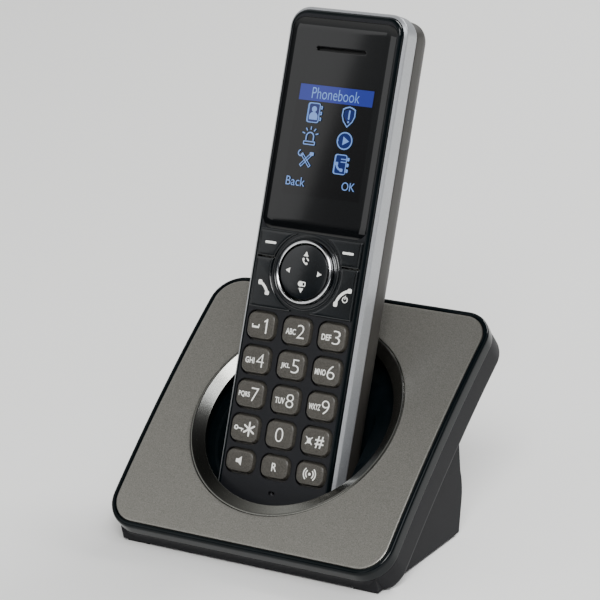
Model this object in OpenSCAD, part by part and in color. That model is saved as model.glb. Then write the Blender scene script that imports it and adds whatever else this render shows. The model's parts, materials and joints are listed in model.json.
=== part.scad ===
// Cordless phone handset standing in its charging base.
// The table is z = 0, the front of the base faces -Y and the handset leans back towards +Y.
// Slab places are [x, distance up the slope, height along the slope's normal].
// Handset places are [x, distance up from the chin, height out from the key tops].

/* [Base plate] */
// Width of the sloping top plate
plate_w = 110; // [100:0.5:135]
// Length of the top plate along its slope
plate_len = 103; // [96:0.5:125]
// Corner radius of the top plate
plate_corner_r = 9.5; // [6:0.5:14]
// Slope of the top plate from the table, in degrees
plate_slope = 37.5; // [34:0.5:41]
// Radius of the plate's convex crown, front to back
crown_r = 593; // [400:1:900]
// Thickness of the top plate
plate_t = 2; // [1.6:0.1:2.2]
// Height of the plate's front edge above the table
plate_front_z = 10.4; // [10:0.1:14]
// Place of the plate's front edge, front to back
plate_front_y = -51; // [-60:0.5:-45]

/* [Base housings] */
// Width of the gloss rim round the plate
rim_w = 2; // [1.6:0.1:3]
// Height of the gloss rim's side
rim_h = 5; // [4.5:0.1:6]
// Overall thickness of the sloping slab
slab_t = 15; // [14.5:0.5:18]
// Moulded wall of the base
base_wall = 2; // [1.6:0.1:2.4]
// Floor of the base
floor_t = 1.6; // [1.2:0.1:2]
// Clearance round parts that drop into each other
seat_gap = 0.15; // [0.1:0.05:0.3]
// Distance that the foot's sides stand in from the slab's sides
foot_inset = 5; // [3:0.5:8]
// Distance from the plate's front edge back to the foot's front wall
foot_front = 4.3; // [3.5:0.1:6]
// Distance that the foot's rear edge lies ahead of where the handset's back meets the plate
foot_ahead = 0.94; // [0:0.01:3]
// Distance that the foot's rear wall bulges backwards
foot_bulge = 4.3; // [2:0.1:5]
// Height of the bulge above the table
foot_bulge_z = 17.5; // [15:0.5:20]
// Height of the rubber feet
feet_h = 1; // [0.8:0.1:2]
// Length of a rubber foot, side to side
feet_w = 9; // [7:0.5:12]
// Width of a rubber foot, front to back
feet_d = 5; // [4:0.5:6]

/* [Cradle] */
// Spare room in the ring beyond the handset's own section
lip_margin = 1.3; // [1:0.1:4]
// Width of the ring's bevel
ring_w = 4.8; // [4:0.1:6]
// Depth of the ring's bevel
ring_depth = 2.5; // [2.2:0.1:3]
// Flat land outside the bevel
ring_land = 0.8; // [0.5:0.1:1.2]
// Depth of the bowl below the plate's surface
bowl_depth = 10.5; // [8:0.5:10.5]
// Wall of the cradle well
well_wall = 1.5; // [1.2:0.1:1.8]
// Room at each side of the handset in the pocket
pocket_side_gap = 1; // [0.6:0.1:1.5]
// Room in front of the handset in the pocket
pocket_front_gap = 1; // [0.6:0.1:1.5]
// Room behind the handset in the pocket
pocket_back_gap = 0.6; // [0.4:0.1:1]
// Room under the handset's chin
pocket_floor_gap = 0.3; // [0.2:0.1:0.6]
// Width of the backrest behind the handset
backrest_w = 30; // [20:1:36]
// Height that the backrest reaches above the chin
backrest_h = 50; // [40:1:52]
// Distance behind the ring's centre at which the handset's middle crosses the plate
cross_back = 1.42; // [0:0.01:3]

/* [Charging contacts] */
// Distance between the two contacts
contact_pitch = 16; // [12:0.5:24]
// Radius of a contact pin
contact_r = 1.1; // [0.8:0.1:1.3]
// Travel of a contact pin
contact_travel = 1.2; // [0.8:0.1:1.4]
// Place of the contacts behind the key tops
contact_back = 14; // [13:0.5:15]
// Size of a charge pad on the handset
pad_size = 4; // [3.5:0.1:5]

/* [Base electronics] */
// Thickness of the circuit boards
board_t = 1.6; // [1:0.1:1.6]
// Height of the base board above the floor
board_lift = 2.4; // [2:0.1:3]
// Width of the base board
board_w = 78; // [72:1:84]
// Length of the base board, front to back
board_len = 29; // [26:1:34]
// Distance of each jack from the middle
jack_x = 33; // [32.5:0.1:34]
// Width of the telephone line jack
line_jack_w = 13.4; // [13:0.1:14]
// Height of the telephone line jack
line_jack_h = 11.6; // [11:0.1:12.5]
// Depth of the telephone line jack
line_jack_len = 15; // [13:0.5:16]
// Width of the line jack's socket
line_socket_w = 9.8; // [9.6:0.1:10]
// Height of the line jack's socket
line_socket_h = 6.8; // [6.6:0.1:7]
// Depth of the line jack's socket
line_socket_len = 11; // [9:0.5:11.5]
// Width of the power jack
power_jack_w = 9; // [8.5:0.1:10]
// Height of the power jack
power_jack_h = 11; // [10.5:0.1:12]
// Depth of the power jack
power_jack_len = 14; // [12:0.5:15]
// Radius of the power jack's hole
power_hole_r = 2.9; // [2.7:0.1:3.2]
// Radius of the power jack's centre pin
power_pin_r = 1; // [0.8:0.05:1.1]
// Width of the handset locator button
page_w = 12; // [10:0.5:14]
// Height of the handset locator button
page_h = 5; // [4.5:0.1:6]
// Travel of the handset locator button
page_travel = 0.6; // [0.4:0.1:0.8]
// Distance of the case screws from the middle
screw_x = 44; // [43:0.5:45]
// Radius of a screw's shank
screw_r = 1.25; // [1.1:0.05:1.5]
// Radius of a screw's head
screw_head_r = 2.3; // [2:0.1:2.6]

/* [Handset] */
// Width across the silver side band
handset_w = 47.4; // [42:0.1:57]
// Length from the chin to the crown
handset_len = 176.4; // [172:0.1:212]
// Thickness from the key tops to the back
handset_t = 23; // [22.5:0.1:27.6]
// Corner radius seen from the front
handset_corner_r = 7.5; // [6:0.1:9]
// Lean of the handset from the table, in degrees
handset_lean = 67.4; // [64:0.1:70]
// Radius along the long edges of the back
back_edge_r = 8; // [6:0.1:9]
// Radius across the top and the bottom of the back
back_end_r = 6; // [4:0.1:7]
// Wall of the handset's shells
shell_wall = 1.6; // [1.2:0.1:1.8]
// Side wall of the front shell
front_wall = 1; // [0.8:0.1:1.2]
// Wall of the silver side band
band_wall = 1.2; // [1:0.1:1.4]
// Distance from the key tops to the band's front edge
band_front = 2.3; // [2:0.1:2.6]
// Depth of the silver side band
band_h = 8.3; // [7.5:0.1:8.6]
// Step from the band in to the rear shell
rear_step = 0.6; // [0.4:0.1:1]

/* [Display] */
// Distance from the chin to the lens's lower edge
lens_low = 98; // [97:0.1:99]
// Distance from the crown to the lens's upper edge
lens_top_gap = 4; // [3.6:0.1:6]
// Width of the glossy lens
lens_w = 42.4; // [40:0.1:50]
// Thickness of the lens
lens_t = 1; // [0.8:0.1:1.2]
// Width of the picture area
picture_w = 31; // [28:0.1:34]
// Height of the picture area
picture_h = 39; // [34:0.1:42]
// Distance from the chin to the middle of the picture
picture_s = 130.2; // [129:0.1:132]
// Border of the display glass round the picture
glass_border = 3; // [2:0.1:3.4]
// Thickness of the display glass
glass_t = 2; // [1.6:0.1:2]

/* [Keys] */
// Height of the key tops above the face
key_stand = 0.8; // [0.5:0.1:1]
// Width of a dialling key
key_w = 11.7; // [10:0.1:12.4]
// Height of a dialling key
key_h = 9.9; // [8.5:0.1:10.4]
// Height of a key in the lowest row
low_key_h = 8.3; // [7:0.1:9]
// Corner radius of a key
key_corner_r = 3; // [2:0.1:3.6]
// Distance between columns
column_pitch = 14.4; // [14:0.1:15.5]
// Distance between rows
row_pitch = 12.06; // [11.8:0.02:12.1]
// Distance from the chin to the lowest row
low_row_s = 16.4; // [15.5:0.1:17]
// Distance from the lowest row up to the next
low_row_pitch = 11.3; // [11:0.1:11.6]
// Gap round a key
key_gap = 0.4; // [0.3:0.05:0.5]
// Travel of a key
key_travel = 0.8; // [0.5:0.1:0.9]
// Radius of the stem under a key
stem_r = 2.4; // [2:0.1:3]
// Width of the block of soft and call keys
block_w = 41.4; // [40:0.1:46]
// Height of the block of soft and call keys
block_h = 27.2; // [26.5:0.1:27.6]
// Distance from the chin to the middle of the navigation key
nav_s = 84.4; // [84:0.1:84.8]
// Outer radius of the ring round the navigation key
nav_ring_r = 11.1; // [10:0.1:11.6]
// Width of that ring
nav_ring_w = 1.1; // [0.9:0.1:1.4]
// Height of the navigation key above the key tops
nav_rise = 1.5; // [1:0.1:1.8]
// Inner radius of the soft and call keys' arc
block_arc_r = 14; // [13.6:0.1:14.4]
// Distance from the chin to the seam between soft and call keys
block_seam_s = 88; // [87.5:0.1:88.5]
// Tilt of the navigation key each way, in degrees
nav_tilt = 3; // [2:0.5:3]

/* [Battery and sound] */
// Radius of a battery cell
cell_r = 5.2; // [5:0.05:5.25]
// Length of a battery cell
cell_len = 44.5; // [44:0.1:45]
// Distance from the chin to the lower end of the battery bay
bay_s = 65; // [64:0.5:70]
// Width of the battery door
door_w = 28; // [26:0.5:29]
// Thickness of the battery door
door_t = 1.4; // [1.2:0.1:1.6]
// Travel that frees the battery door
door_travel = 6; // [4:0.5:7]
// Radius of the earpiece
earpiece_r = 7.5; // [6:0.1:8]
// Half length of the earpiece slot
slot_half = 10; // [8:0.1:11]
// Radius of the hands-free loudspeaker
speaker_r = 10; // [8:0.5:11]

/* [Hidden] */
$fn = 64;
far = 400;
crown_steps = 12;

// Base slab, from its plate outwards
chord = 2 * crown_r * sin(plate_len / crown_r * 90 / PI);
crown_h = crown_r * (1 - cos(plate_len / crown_r * 90 / PI));
slab_w = plate_w + 2 * rim_w;
slab_len = chord + 2 * rim_w;
slab_corner_r = plate_corner_r + rim_w;
deck_t = 2;
underside = feet_h;
floor_top = underside + floor_t;

// Handset's place: its lowest corner, with the pocket's wall under it, just clears the floor
pocket_clear = 0.5;
pocket_low = pocket_floor_gap + well_wall;
pocket_rear = handset_t + pocket_back_gap + well_wall;
chin_z = floor_top + pocket_clear + pocket_low * sin(handset_lean)
  + pocket_rear * cos(handset_lean);
crossing = handset_lean - plate_slope;

// A size to the nearest fraction of a millimetre that a drawing would give
function to_fraction(size, parts) = round(size * parts) / parts;

// Where the line of the key tops crosses the plate, and the chin on that line
ring_t = chord / 2;
cross_s = ring_t + cross_back - handset_t / 2 / sin(crossing);
cross_y = plate_front_y + cross_s * cos(plate_slope);
cross_z = plate_front_z + cross_s * sin(plate_slope);
chin_y = to_fraction(cross_y - (cross_z - chin_z) / tan(handset_lean), 100);
foot_len = to_fraction(cross_y + handset_t / sin(crossing) * cos(plate_slope) - foot_ahead
  - plate_front_y - foot_front, 10);

// Cradle ring, large enough for the handset's section where it crosses the plate
lip_r = sqrt(pow(handset_w / 2 + pocket_side_gap, 2) + pow(handset_t / 2 / sin(crossing), 2))
  + lip_margin;
ring_r = lip_r + ring_w;
bowl_r = lip_r + 0.8;
flange_r = bowl_r + well_wall + 3;
flange_depth = plate_t + deck_t + flange_r * flange_r / 2 / crown_r + 0.25;
well_flange_t = 1.5;
bowl_blend = 5;
bowl_floor_t = well_wall;
backrest_low = 24;

// Handset's layers, as heights out from the key tops
face_z = -key_stand;
shell_back_z = -band_front - band_h + 1;
band_back_z = -band_front - band_h;
rear_top_z = band_back_z - 0.1;
rear_z = -handset_t;
pad_face = rear_step + 0.15;
contact_gap = 0.1;
collar_t = 0.9;
front_w = handset_w - 2 * (band_wall + 0.1);
front_len = handset_len - 2 * (band_wall + 0.1);
front_corner_r = handset_corner_r - band_wall - 0.1;
rear_w = handset_w - 2 * rear_step;
rear_len = handset_len - 2 * rear_step;
rear_corner_r = handset_corner_r - rear_step;
face_back_z = face_z - shell_wall;
flange_t = 0.5;
flange_w = 0.45;
key_flange_z = face_back_z - 0.05;
membrane_top_z = key_flange_z - flange_t - key_travel - 0.1;
membrane_t = 0.5;
handset_board_t = 1;
dome_t = 0.4;
stem_tip_z = membrane_top_z - membrane_t - 0.1;
dome_top_z = stem_tip_z - key_travel - 0.05;
board_top_z = dome_top_z - dome_t;
board_back_z = board_top_z - handset_board_t;
handset_board_w = front_w - 2 * front_wall - 0.8;
handset_board_r = front_corner_r - front_wall;
lens_len = handset_len - lens_top_gap - lens_low;
lens_corner_r = 4.5;
glass_w = picture_w + 2 * glass_border;
glass_h = picture_h + 2 * glass_border;
glass_top_z = face_back_z - 0.1;
earpiece_s = handset_len - 14.5;
slot_h = 1.4;
mic_s = 7.2;
speaker_s = handset_len - 34;
case_screw_s = handset_len - 14;
case_screw_x = rear_w / 2 - 11;
lowest_dial_s = low_row_s + low_row_pitch;
block_top_s = lens_low - 0.6;
block_stem_x = block_w / 2 - 4.2;
soft_stem_s = block_seam_s + 4.5;
call_stem_s = block_seam_s - 10;
dome_r = 2.6;
nav_dome_r = 1.8;

// Battery bay, its door and what is in it
cell_gap = 0.4;
bay_w = 4 * cell_r + 3 * cell_gap;
bay_len = cell_len + 5;
bay_wall = 1.2;
cell_z = rear_z + door_t + 0.3 + cell_r;
bay_front_z = cell_z + cell_r + 0.3;
door_len = bay_len + 8;
door_s = bay_s - 4;
door_gap = 0.15;

// Navigation key
nav_pad_z = nav_rise - 0.3;
nav_bore_r = nav_ring_r + 0.1;
pivot_z = face_back_z - 1.2;
pad_base_z = pivot_z + 1.1;
nav_pad_r = nav_ring_r - nav_ring_w - 0.3 - (nav_pad_z - pivot_z) * sin(nav_tilt);
nav_stem_reach = 6.4;
pivot_r = 0.7;

// Circuit board and jacks in the base
board_z = floor_top + board_lift;
board_rear_y = foot_rear_y(board_z) - base_wall - 1.2;
board_top = board_z + board_t;
jack_face_y = foot_rear_y(board_top) - base_wall - 0.1;
line_jack_proud = 0.7;
power_z = board_top + power_jack_h - power_hole_r - 2.2;
page_z = board_top + 7.5;
page_face_y = foot_rear_y(page_z + page_h / 2) + 0.4;
page_flange_y = foot_rear_y(page_z - page_h / 2 - 1.5) - base_wall - 0.4;
page_flange_t = 1;
switch_tip_y = page_flange_y - page_flange_t - page_travel - 0.15;
front_screw_y = plate_front_y + foot_front + feet_d + 5;
rear_screw_y = plate_front_y + foot_front + foot_len - feet_d - 5.5;
post_r = 3.2;
post_bottom = floor_top + 0.2;
foot_rake = 1.2;
foot_seam_z = plate_front_z - rim_h * cos(plate_slope);
foot_top_z = far / 3;

// Back of the foot at a height above the table
function foot_rear_y(z) = plate_front_y + foot_front + foot_len
  + foot_bulge * (1 - abs(z - foot_bulge_z) / foot_bulge_z);

// Moves children from the table's frame to the sloping plate's
module on_slab() {
  translate([0, plate_front_y, plate_front_z]) rotate([plate_slope, 0, 0]) children();
}

// Moves children from the table's frame to the handset's
module on_handset() {
  translate([0, chin_y, chin_z]) rotate([handset_lean, 0, 0]) children();
}

module rounded_rect(w, h, r) {
  square([w - 2 * r, h], center = true);
  square([w, h - 2 * r], center = true);
  for (x = [-1, 1], y = [-1, 1])
    translate([x * (w / 2 - r), y * (h / 2 - r)]) circle(r);
}

// A flat plate with round corners between two heights
module slab_block(w, h, r, low, high) {
  translate([0, 0, low]) linear_extrude(high - low) rounded_rect(w, h, r);
}

// A point at a depth below the crowned surface, counted from the front
function crown_point(step, depth) =
  let (reach = asin((chord / 2 + 8) / crown_r), a = (2 * step / crown_steps - 1) * reach)
  [chord / 2 + (crown_r - depth) * sin(a), crown_h - crown_r + (crown_r - depth) * cos(a)];

// A wide band that follows the crown between two depths
module crown_band(top, bottom) {
  translate([-far / 4, 0, 0]) rotate([90, 0, 90]) linear_extrude(far / 2)
    polygon([for (i = [0 : crown_steps]) crown_point(i, top),
      for (i = [0 : crown_steps]) crown_point(crown_steps - i, bottom)]);
}

// Everything that is deeper than a depth below the crowned surface
module below_crown(depth) { crown_band(depth, depth + 60); }

// A crowned layer of the slab between two depths
module crowned_layer(top, bottom, w, len, r) {
  intersection() {
    translate([0, chord / 2, 0]) slab_block(w, len, r, -slab_t - 12, crown_h + 5);
    crown_band(top, bottom);
  }
}

// A round hole square to the plate, right through the slab
module ring_hole(r) {
  translate([0, ring_t, -far / 2]) cylinder(r = r, h = far, $fn = 128);
}

// Base

module base_top_plate() {
  color([0.53, 0.52, 0.49]) on_slab() difference() {
    crowned_layer(0, plate_t, plate_w, chord, plate_corner_r);
    ring_hole(ring_r + seat_gap);
  }
}

module base_rim_housing() {
  inner_w = slab_w - 2 * base_wall;
  inner_len = slab_len - 2 * base_wall;
  color([0.06, 0.08, 0.1]) difference() {
    union() {
      on_slab() difference() {
        crowned_layer(0, rim_h, slab_w, slab_len, slab_corner_r);
        crowned_layer(-1, plate_t, plate_w + 2 * seat_gap, chord + 2 * seat_gap,
          plate_corner_r + seat_gap);
        crowned_layer(plate_t + deck_t, rim_h + 1, inner_w, inner_len,
          slab_corner_r - base_wall);
        ring_hole(bowl_r + well_wall + seat_gap);
      }
      posts();
    }
    post_places() cylinder(r = screw_r + 0.05, h = post_bottom + 9);
  }
}

// Puts a copy at each screw of the base
module post_places() {
  for (x = [-1, 1], y = [front_screw_y, rear_screw_y]) translate([x * screw_x, y, 0]) children();
}

// Screw posts from the deck down to the floor
module posts() {
  intersection() {
    post_places() translate([0, 0, post_bottom]) cylinder(r = post_r, h = far / 4);
    on_slab() below_crown(plate_t + deck_t / 2);
  }
}

// Side profile of the foot, with its walls moved in and its bottom at a height
module foot_profile(inset, low) {
  front = plate_front_y + foot_front + inset;
  top_y = foot_rear_y(2 * foot_bulge_z) - inset;
  polygon([[front, low], [front - foot_rake, foot_seam_z], [front - foot_rake, foot_top_z],
    [top_y, foot_top_z], [top_y, 2 * foot_bulge_z],
    for (step = [0 : 5]) bulge_point(step / 5, inset),
    [foot_rear_y(low) - inset, low]]);
}

// Rounded turn of the foot's rear wall, from above the bulge to below it
function bulge_point(share, inset) =
  let (reach = 5, z = foot_bulge_z + reach * (1 - 2 * share), soft = reach / foot_bulge_z
    * foot_bulge * (1 - pow(1 - 2 * share, 2)) / 2)
  [foot_rear_y(foot_bulge_z + reach) + soft - inset, z];

// The foot, up to a depth inside the slab
module foot_block(inset, low, depth) {
  w = slab_w - 2 * foot_inset - 2 * inset;
  intersection() {
    translate([-w / 2, 0, 0]) rotate([90, 0, 90]) linear_extrude(w) foot_profile(inset, low);
    on_slab() below_crown(depth);
  }
}

module base_lower_housing() {
  color([0.24, 0.24, 0.25]) difference() {
    union() {
      on_slab() crowned_layer(rim_h + 0.05, slab_t, slab_w - 0.4, slab_len - 0.4,
        slab_corner_r);
      foot_block(0, underside, rim_h + 0.05);
    }
    difference() {
      on_slab() crowned_layer(rim_h - 1, slab_t - base_wall, slab_w - 2 * base_wall,
        slab_len - 2 * base_wall, slab_corner_r - base_wall);
      under(floor_top);
    }
    foot_block(base_wall, floor_top, rim_h - 2);
    under(underside);
    rear_openings();
    post_places() cylinder(r = screw_r + 0.25, h = floor_top + 1);
    foot_recesses();
  }
}

// Space under a height above the table
module under(z) { translate([-far / 2, -far / 2, z - far]) cube(far); }

// Shallow seats for the rubber feet
module foot_recesses() {
  for (p = foot_places()) translate([p[0], p[1], underside])
    cube([feet_w + 2 * seat_gap, feet_d + 2 * seat_gap, 1], center = true);
}

function foot_places() =
  let (x = slab_w / 2 - foot_inset - feet_w / 2 - 1.2,
    front = plate_front_y + foot_front + feet_d / 2 + 1,
    rear = foot_rear_y(0) - feet_d / 2 - 1)
  [for (sx = [-1, 1], y = [front, rear]) [sx * x, y]];

module rear_openings() {
  translate([-jack_x - line_jack_w / 2 - seat_gap, 0, board_top - seat_gap])
    cube([line_jack_w + 2 * seat_gap, far, line_jack_h + 2 * seat_gap]);
  translate([jack_x, 0, power_z])
    rotate([-90, 0, 0]) cylinder(r = power_hole_r + 1.2, h = far);
  translate([0, 0, page_z]) rotate([-90, 0, 0]) linear_extrude(far)
    rounded_rect(page_w + 0.6, page_h + 0.6, page_h / 2);
}

module cradle_trim_ring() {
  color([0.35, 0.36, 0.37]) on_slab() difference() {
    intersection() {
      translate([0, ring_t, -10]) cylinder(r = ring_r, h = 20, $fn = 128);
      below_crown(0);
    }
    difference() {
      below_crown(plate_t);
      translate([0, ring_t, -far / 2]) cylinder(r = bowl_r + well_wall, h = far, $fn = 128);
    }
    below_crown(ring_depth);
    ring_hole(lip_r);
    translate([0, ring_t, crown_h - ring_depth - 0.3])
      cylinder(r1 = lip_r, r2 = lip_r + 2 * (ring_w - ring_land),
        h = 2 * (ring_depth - 0.3), $fn = 128);
  }
}

// Section of the pocket across the handset's length, grown by a wall
module pocket_section(grow) {
  w = handset_w + 2 * pocket_side_gap + 2 * grow;
  h = handset_t + pocket_front_gap + pocket_back_gap + 2 * grow;
  translate([0, -handset_t / 2 + (pocket_front_gap - pocket_back_gap) / 2])
    rounded_rect(w, h, 3 + grow);
}

// The pocket up to a height above the chin
module pocket(grow, top) {
  on_handset() translate([0, -pocket_floor_gap - grow, 0]) rotate([-90, 0, 0])
    linear_extrude(top + pocket_floor_gap + grow) mirror([0, 1, 0]) pocket_section(grow);
}

// Round bowl square to the plate, below a depth
module bowl(r, top, bottom) {
  translate([0, ring_t, crown_h]) rotate_extrude($fn = 128) {
    translate([0, -bottom]) square([r - bowl_blend, bottom - top]);
    translate([0, -bottom + bowl_blend]) square([r, bottom - top - bowl_blend]);
    translate([r - bowl_blend, -bottom + bowl_blend]) circle(bowl_blend);
  }
}

module cradle_well() {
  color([0.04, 0.05, 0.06]) union() {
    difference() {
      union() {
        on_slab() intersection() {
          union() {
            bowl(bowl_r + well_wall, -2, bowl_depth + bowl_floor_t);
            translate([0, ring_t, crown_h - flange_depth - well_flange_t])
              cylinder(r = flange_r, h = well_flange_t);
          }
          below_crown(ring_depth + 0.1);
        }
        intersection() {
          pocket(well_wall, 60);
          on_slab() below_crown(plate_t + deck_t + 1);
        }
      }
      on_slab() bowl(bowl_r, -9, bowl_depth);
      intersection() {
        pocket(0, 90);
        on_slab() ring_hole(bowl_r + 8);
      }
      contact_holes(contact_r + 0.2, 4);
      post_places() cylinder(r = post_r + 0.5, h = far);
    }
    backrest();
  }
}

// Block behind the handset that it leans on
module backrest() {
  difference() {
    intersection() {
      on_handset() translate([-backrest_w / 2, backrest_low, -handset_t - pocket_back_gap - 30])
        cube([backrest_w, backrest_h - backrest_low, 30]);
      on_slab() bowl(bowl_r + 0.5, -9, bowl_depth + 0.5);
    }
    on_slab() translate([-far / 2, ring_t + lip_r - 5, -far / 2]) cube(far);
  }
}

// Pins through the pocket's floor: a stretch below the chin, along the handset
module contact_holes(r, depth) {
  on_handset() for (x = [-1, 1])
    translate([x * contact_pitch / 2, 0.5 - pocket_floor_gap, -contact_back])
      rotate([90, 0, 0]) cylinder(r = r, h = depth);
}

module charge_contact_holder() {
  depth = collar_t + contact_travel + 0.9;
  color([0.15, 0.15, 0.16]) on_handset() difference() {
    translate([-contact_pitch / 2 - 4, -pocket_low - depth - 0.05, -contact_back - 2.5])
      cube([contact_pitch + 8, depth, 6.5]);
    for (x = [-1, 1]) translate([x * contact_pitch / 2, 1, -contact_back])
      rotate([90, 0, 0]) cylinder(r = contact_r + 0.7, h = far);
  }
}

// One sprung pin that almost meets its pad, with a collar under the pocket's floor
module contact_pin(side) {
  tip = pad_face - contact_gap;
  color([0.78, 0.7, 0.45]) on_handset()
    translate([side * contact_pitch / 2, tip, -contact_back]) rotate([90, 0, 0]) {
      cylinder(r = contact_r, h = tip + pocket_low + collar_t + 0.9);
      translate([0, 0, tip + pocket_low + 0.1]) cylinder(r = contact_r + 0.45, h = collar_t);
    }
}

module charge_contact_left() { contact_pin(-1); }

module charge_contact_right() { contact_pin(1); }

module base_circuit_board() {
  notch_w = handset_w + 2 * pocket_side_gap + 2 * well_wall + 3;
  notch_len = board_len - 14;
  color([0.1, 0.35, 0.2]) difference() {
    translate([-board_w / 2, board_rear_y - board_len, board_z])
      cube([board_w, board_len, board_t]);
    translate([-notch_w / 2, board_rear_y - board_len - 1, board_z - 1])
      cube([notch_w, notch_len + 1, board_t + 2]);
  }
}

module base_radio_shield() {
  color([0.7, 0.7, 0.7]) translate([-24, board_rear_y - 11, board_top]) difference() {
    cube([16, 9, 2.4]);
    translate([0.3, 0.3, -1]) cube([15.4, 8.4, 3.1]);
  }
}

module base_antenna() {
  color([0.75, 0.62, 0.35]) translate([15, board_rear_y - 2, board_top]) {
    cube([5, 0.6, 20]);
    translate([-4, 0, 16]) cube([4, 0.6, 4]);
  }
}

module line_jack() {
  color([0.12, 0.12, 0.13])
    translate([-jack_x, jack_face_y + line_jack_proud - line_jack_len, board_top]) difference() {
      translate([-line_jack_w / 2, 0, 0]) cube([line_jack_w, line_jack_len, line_jack_h]);
      translate([-line_socket_w / 2, line_jack_len - line_socket_len,
        (line_jack_h - line_socket_h) / 2]) cube([line_socket_w, far, line_socket_h]);
      translate([-2, line_jack_len - line_socket_len, 1]) cube([4, far, line_jack_h / 2]);
    }
}

module dc_power_jack() {
  color([0.1, 0.1, 0.11]) translate([jack_x, jack_face_y, board_top]) {
    difference() {
      translate([-power_jack_w / 2, -power_jack_len, 0])
        cube([power_jack_w, power_jack_len, power_jack_h]);
      translate([0, 0.5, power_z - board_top]) rotate([90, 0, 0])
        cylinder(r = power_hole_r, h = power_jack_len - 2);
    }
    translate([0, -1, power_z - board_top]) rotate([90, 0, 0])
      cylinder(r = power_pin_r, h = power_jack_len - 2);
  }
}

module page_switch() {
  body_y = switch_tip_y - 1.2;
  color([0.2, 0.2, 0.22]) {
    translate([-3, body_y - 3.5, board_top]) cube([6, 3.5, page_z - board_top + 3]);
    translate([0, body_y - 0.01, page_z]) rotate([-90, 0, 0])
      cylinder(r = 1.5, h = switch_tip_y - body_y + 0.01);
  }
}

module page_button() {
  color([0.16, 0.16, 0.17]) {
    translate([0, page_flange_y - 0.01, page_z]) rotate([-90, 0, 0])
      linear_extrude(page_face_y - page_flange_y + 0.01) rounded_rect(page_w, page_h, 2.2);
    translate([-page_w / 2 - 1.2, page_flange_y - page_flange_t, page_z - page_h / 2 - 1.2])
      cube([page_w + 2.4, page_flange_t, page_h + 2.4]);
  }
}

module base_screws() {
  color([0.6, 0.6, 0.62]) post_places() {
    translate([0, 0, underside - 0.8]) difference() {
      cylinder(r = screw_head_r, h = 0.8);
      for (a = [0, 90]) rotate(a) cube([2.6, 0.5, 0.8], center = true);
    }
    translate([0, 0, underside - 0.01]) cylinder(r = screw_r, h = 9);
  }
}

module rubber_feet() {
  color([0.08, 0.08, 0.08]) for (p = foot_places())
    translate([p[0], p[1], underside / 2 + 0.25])
      cube([feet_w, feet_d, underside + 0.5], center = true);
}

// Handset

// Outline seen from the front, inset from the band and lying between two heights
module handset_block(w, len, r, low, high) {
  translate([0, handset_len / 2, low]) linear_extrude(high - low) rounded_rect(w, len, r);
}

module handset_front_shell() {
  color([0.12, 0.13, 0.14]) on_handset() difference() {
    handset_block(front_w, front_len, front_corner_r, shell_back_z, face_z);
    handset_block(front_w - 2 * front_wall, front_len - 2 * front_wall,
      front_corner_r - front_wall, shell_back_z - 1, face_back_z);
    lens_cut(lens_w + 0.2, lens_len + 0.2, lens_corner_r, face_z - lens_t, 1);
    translate([-picture_w / 2 - 0.5, picture_s - picture_h / 2 - 0.5, -5])
      cube([picture_w + 1, picture_h + 1, 6]);
    translate([0, earpiece_s, -5]) linear_extrude(6)
      rounded_rect(2 * slot_half, slot_h, slot_h / 2 - 0.01);
    translate([0, mic_s, -5]) linear_extrude(6) rounded_rect(2.5, 1.3, 0.6);
    for (k = dial_keys()) key_hole(k);
    block_holes();
    translate([0, nav_s, -5]) cylinder(r = nav_bore_r, h = 6);
  }
}

// Seat of the lens in the face
module lens_cut(w, len, r, low, high) {
  translate([0, lens_low + lens_len / 2, low]) linear_extrude(high - low)
    rounded_rect(w, len, r);
}

module handset_side_band() {
  color([0.67, 0.68, 0.7]) on_handset() difference() {
    handset_block(handset_w, handset_len, handset_corner_r, band_back_z, -band_front);
    handset_block(handset_w - 2 * band_wall, handset_len - 2 * band_wall,
      handset_corner_r - band_wall, band_back_z - 1, 0);
  }
}

// Rounded body of the handset's back, inset by a wall
module back_body(inset, top) {
  w = rear_w - 2 * inset;
  len = rear_len - 2 * inset;
  low = rear_z + inset;
  intersection() {
    handset_block(w, len, rear_corner_r - inset, low, top);
    translate([0, -far / 2, 0]) rotate([-90, 0, 0]) linear_extrude(2 * far)
      mirror([0, 1, 0]) translate([0, low + 20]) rounded_rect(w, 40, back_edge_r - inset);
    translate([-far / 2, handset_len / 2, low + 20]) rotate([90, 0, 90]) linear_extrude(far)
      rounded_rect(len, 40, back_end_r - inset);
  }
}

module handset_rear_shell() {
  bay_outer = bay_w + 2 * bay_wall;
  color([0.3, 0.29, 0.27]) on_handset() difference() {
    back_body(0, rear_top_z);
    difference() {
      back_body(shell_wall, rear_top_z + 1);
      translate([-bay_outer / 2, bay_s - bay_wall, rear_z])
        cube([bay_outer, bay_len + 2 * bay_wall, bay_front_z + 1 - rear_z]);
    }
    translate([-bay_w / 2, bay_s, rear_z - 1]) cube([bay_w, bay_len, bay_front_z - rear_z + 1]);
    door_seat();
    door_track();
    for (i = [-2 : 2]) translate([0, speaker_s + 3 * i, rear_z - 1])
      linear_extrude(shell_wall + 2) rounded_rect(15 - abs(i) * 2, 1.2, 0.5);
    for (x = [-1, 1]) {
      translate([x * contact_pitch / 2 - pad_size / 2 - 0.1, -1, -contact_back - pad_size / 2])
        cube([pad_size + 0.2, shell_wall + 3, pad_size]);
      translate([x * case_screw_x, case_screw_s, rear_z - 1]) cylinder(r = 1.4, h = 4);
    }
  }
}

// Recess that the closed door lies in
module door_seat() {
  translate([-door_w / 2 - door_gap, door_s - door_gap, rear_z - 1])
    cube([door_w + 2 * door_gap, door_len + 2 * door_gap, door_t + 1 + 0.1]);
}

// Thumb recess that the door slides down into
module door_track() {
  translate([-door_w / 2 - door_gap, door_s - door_travel - 0.3, rear_z - 1])
    cube([door_w + 2 * door_gap, door_travel + 2, door_t + 1 + 0.1]);
}

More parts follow.
